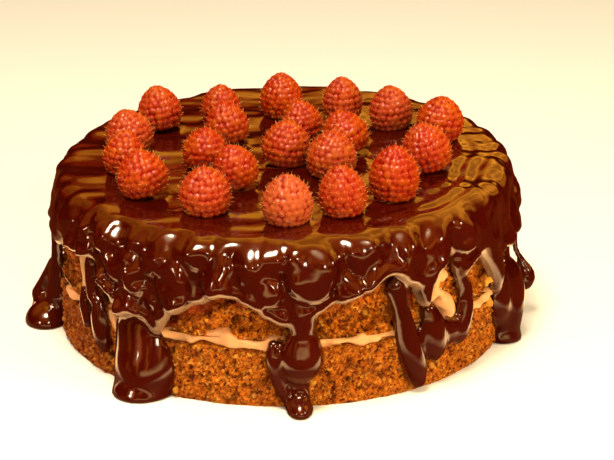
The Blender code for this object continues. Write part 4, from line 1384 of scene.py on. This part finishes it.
class TORTE_OT_stage(bpy.types.Operator):
    """Build the plain floor, the soft lights and the camera"""

    bl_idname = "torte.stage"
    bl_label = "Stage"

    def execute(self, context):
        settings = context.scene.torte_stage
        bpy.ops.mesh.primitive_plane_add(size=6.0, location=(0.0, 0.0, 0.0))
        floor = context.object
        floor.name = "floor"
        floor.data.materials.append(floor_material(settings.floor_colour))
        add_area_light("key_light", KEY_PLACE, TORTE_MIDDLE, KEY_SIZE, settings.key_power, WARM)
        for name, place_at, aim, power, colour in FILL_LIGHTS:
            add_area_light(name, place_at, aim, FILL_SIZE, power, colour).visible_glossy = False
        for index, place_at in enumerate(SPARKLE_LAMPS, 1):
            add_area_light(f"lamp_{index}", place_at, TORTE_MIDDLE, SPARKLE_SIZE, SPARKLE_POWER, WARM)
        self.light_room(context, settings)
        self.place_camera(context)
        return {"FINISHED"}

    def light_room(self, context, settings):
        """A soft warm room, which shows its warm far wall only in reflections."""
        world = bpy.data.worlds.new("soft_room")
        context.scene.world = world
        world.use_nodes = True
        tree = world.node_tree
        tree.nodes.clear()
        heading = place(tree, "ShaderNodeTexCoord").outputs["Generated"]
        right, back, up = split_axes(tree, heading)
        wall = times(tree, ranged(tree, back, -0.1, 0.2), ranged(tree, up, 0.28, 0.37))
        shelves = noise_at(tree, vectors(tree, "MULTIPLY", heading, (2.5, 0.0, 9.0)), 1.0, 2.0)
        wall = times(tree, wall, ranged(tree, shelves, 0.40, 0.56, 0.35, 1.0))
        rightward = times(tree, ranged(tree, right, -0.05, 0.11), 0.80)
        leftward = ranged(tree, right, -0.20, 0.00, 0.22, 1.0)
        glow = maths(tree, "MAXIMUM", times(tree, ranged(tree, up, 0.42, 0.60), leftward), rightward)
        tint = blend_colours(tree, glow, WALL_SHADE, WALL_GLOW)
        low = times(tree, ranged(tree, up, -0.10, 0.15), ranged(tree, up, 0.92, 0.70))
        ahead = times(tree, ranged(tree, back, -0.05, -0.55), low)
        ahead = times(tree, ahead, ranged(tree, noise_at(tree, heading, 4.5, 2.0), 0.50, 0.64))
        sill = times(tree, ranged(tree, up, -0.02, 0.07), ranged(tree, up, 0.20, 0.08))
        sides = maths(tree, "ABSOLUTE", maths(tree, "SUBTRACT", right, 0.10))
        window = times(tree, sill, ranged(tree, sides, 0.62, 0.45))
        window = times(tree, window, ranged(tree, back, -0.4, -0.6))
        lamp = vectors(tree, "DOT_PRODUCT", heading, LAMP_HEADING)
        seen = blend_colours(tree, wall, ROOM_SHADE, tint)
        for share, colour in (
            (ahead, AHEAD_GLOW), (window, WINDOW_GLOW),
            (ranged(tree, lamp, 0.75, 0.95), LAMP_HALO), (ranged(tree, lamp, 0.95, 0.985), LAMP_GLOW),
        ):
            seen = blend_colours(tree, share, seen, colour)
        glossy = place(tree, "ShaderNodeLightPath").outputs["Is Glossy Ray"]
        feeds = {"Color": blend_colours(tree, glossy, ROOM_AIR, seen), "Strength": settings.room_strength}
        air = place(tree, "ShaderNodeBackground", feeds).outputs[0]
        place(tree, "ShaderNodeOutputWorld", {"Surface": air})

    def place_camera(self, context):
        """The camera of the photo, fitted to the torte's base."""
        camera = bpy.data.cameras.new("camera")
        camera.lens = CAMERA_LENS
        camera.sensor_width = CAMERA_SENSOR
        holder = bpy.data.objects.new("camera", camera)
        holder.location = CAMERA_PLACE
        holder.rotation_euler = (math.radians(90.0 - CAMERA_DOWN), 0.0, 0.0)
        context.scene.collection.objects.link(holder)
        context.scene.camera = holder
        context.scene.view_settings.view_transform = "Standard"


class TORTE_PT_panel(bpy.types.Panel):
    """Steps and settings of the torte"""

    bl_label = "Chocolate Torte"
    bl_idname = "TORTE_PT_panel"
    bl_space_type = "VIEW_3D"
    bl_region_type = "UI"
    bl_category = "Torte"

    def draw(self, context):
        layout = self.layout
        for step in STEPS:
            layout.operator(step)
        for group in SETTINGS:
            box = layout.box()
            values = getattr(context.scene, group)
            for key in values.bl_rna.properties.keys():
                if key not in ("rna_type", "name"):
                    box.prop(values, key)


SETTINGS = {
    "torte_crumb": CrumbSettings,
    "torte_cream": CreamSettings,
    "torte_ganache": GanacheSettings,
    "torte_berries": BerrySettings,
    "torte_stage": StageSettings,
}
STEPS = ("torte.stage", "torte.crumb", "torte.cream", "torte.ganache", "torte.raspberries")
CLASSES = (*SETTINGS.values(), TORTE_OT_stage, TORTE_OT_crumb, TORTE_OT_cream, TORTE_OT_ganache,
           TORTE_OT_raspberries, TORTE_PT_panel)


def register():
    for kind in CLASSES:
        bpy.utils.register_class(kind)
    for name, kind in SETTINGS.items():
        setattr(bpy.types.Scene, name, bpy.props.PointerProperty(type=kind))


def unregister():
    for name in SETTINGS:
        delattr(bpy.types.Scene, name)
    for kind in reversed(CLASSES):
        bpy.utils.unregister_class(kind)


def main():
    register()
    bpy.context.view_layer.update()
    bpy.ops.torte.stage()
    bpy.ops.torte.crumb()
    bpy.ops.torte.cream()
    bpy.ops.torte.ganache()
    bpy.ops.torte.raspberries()


if __name__ == "__main__":
    main()
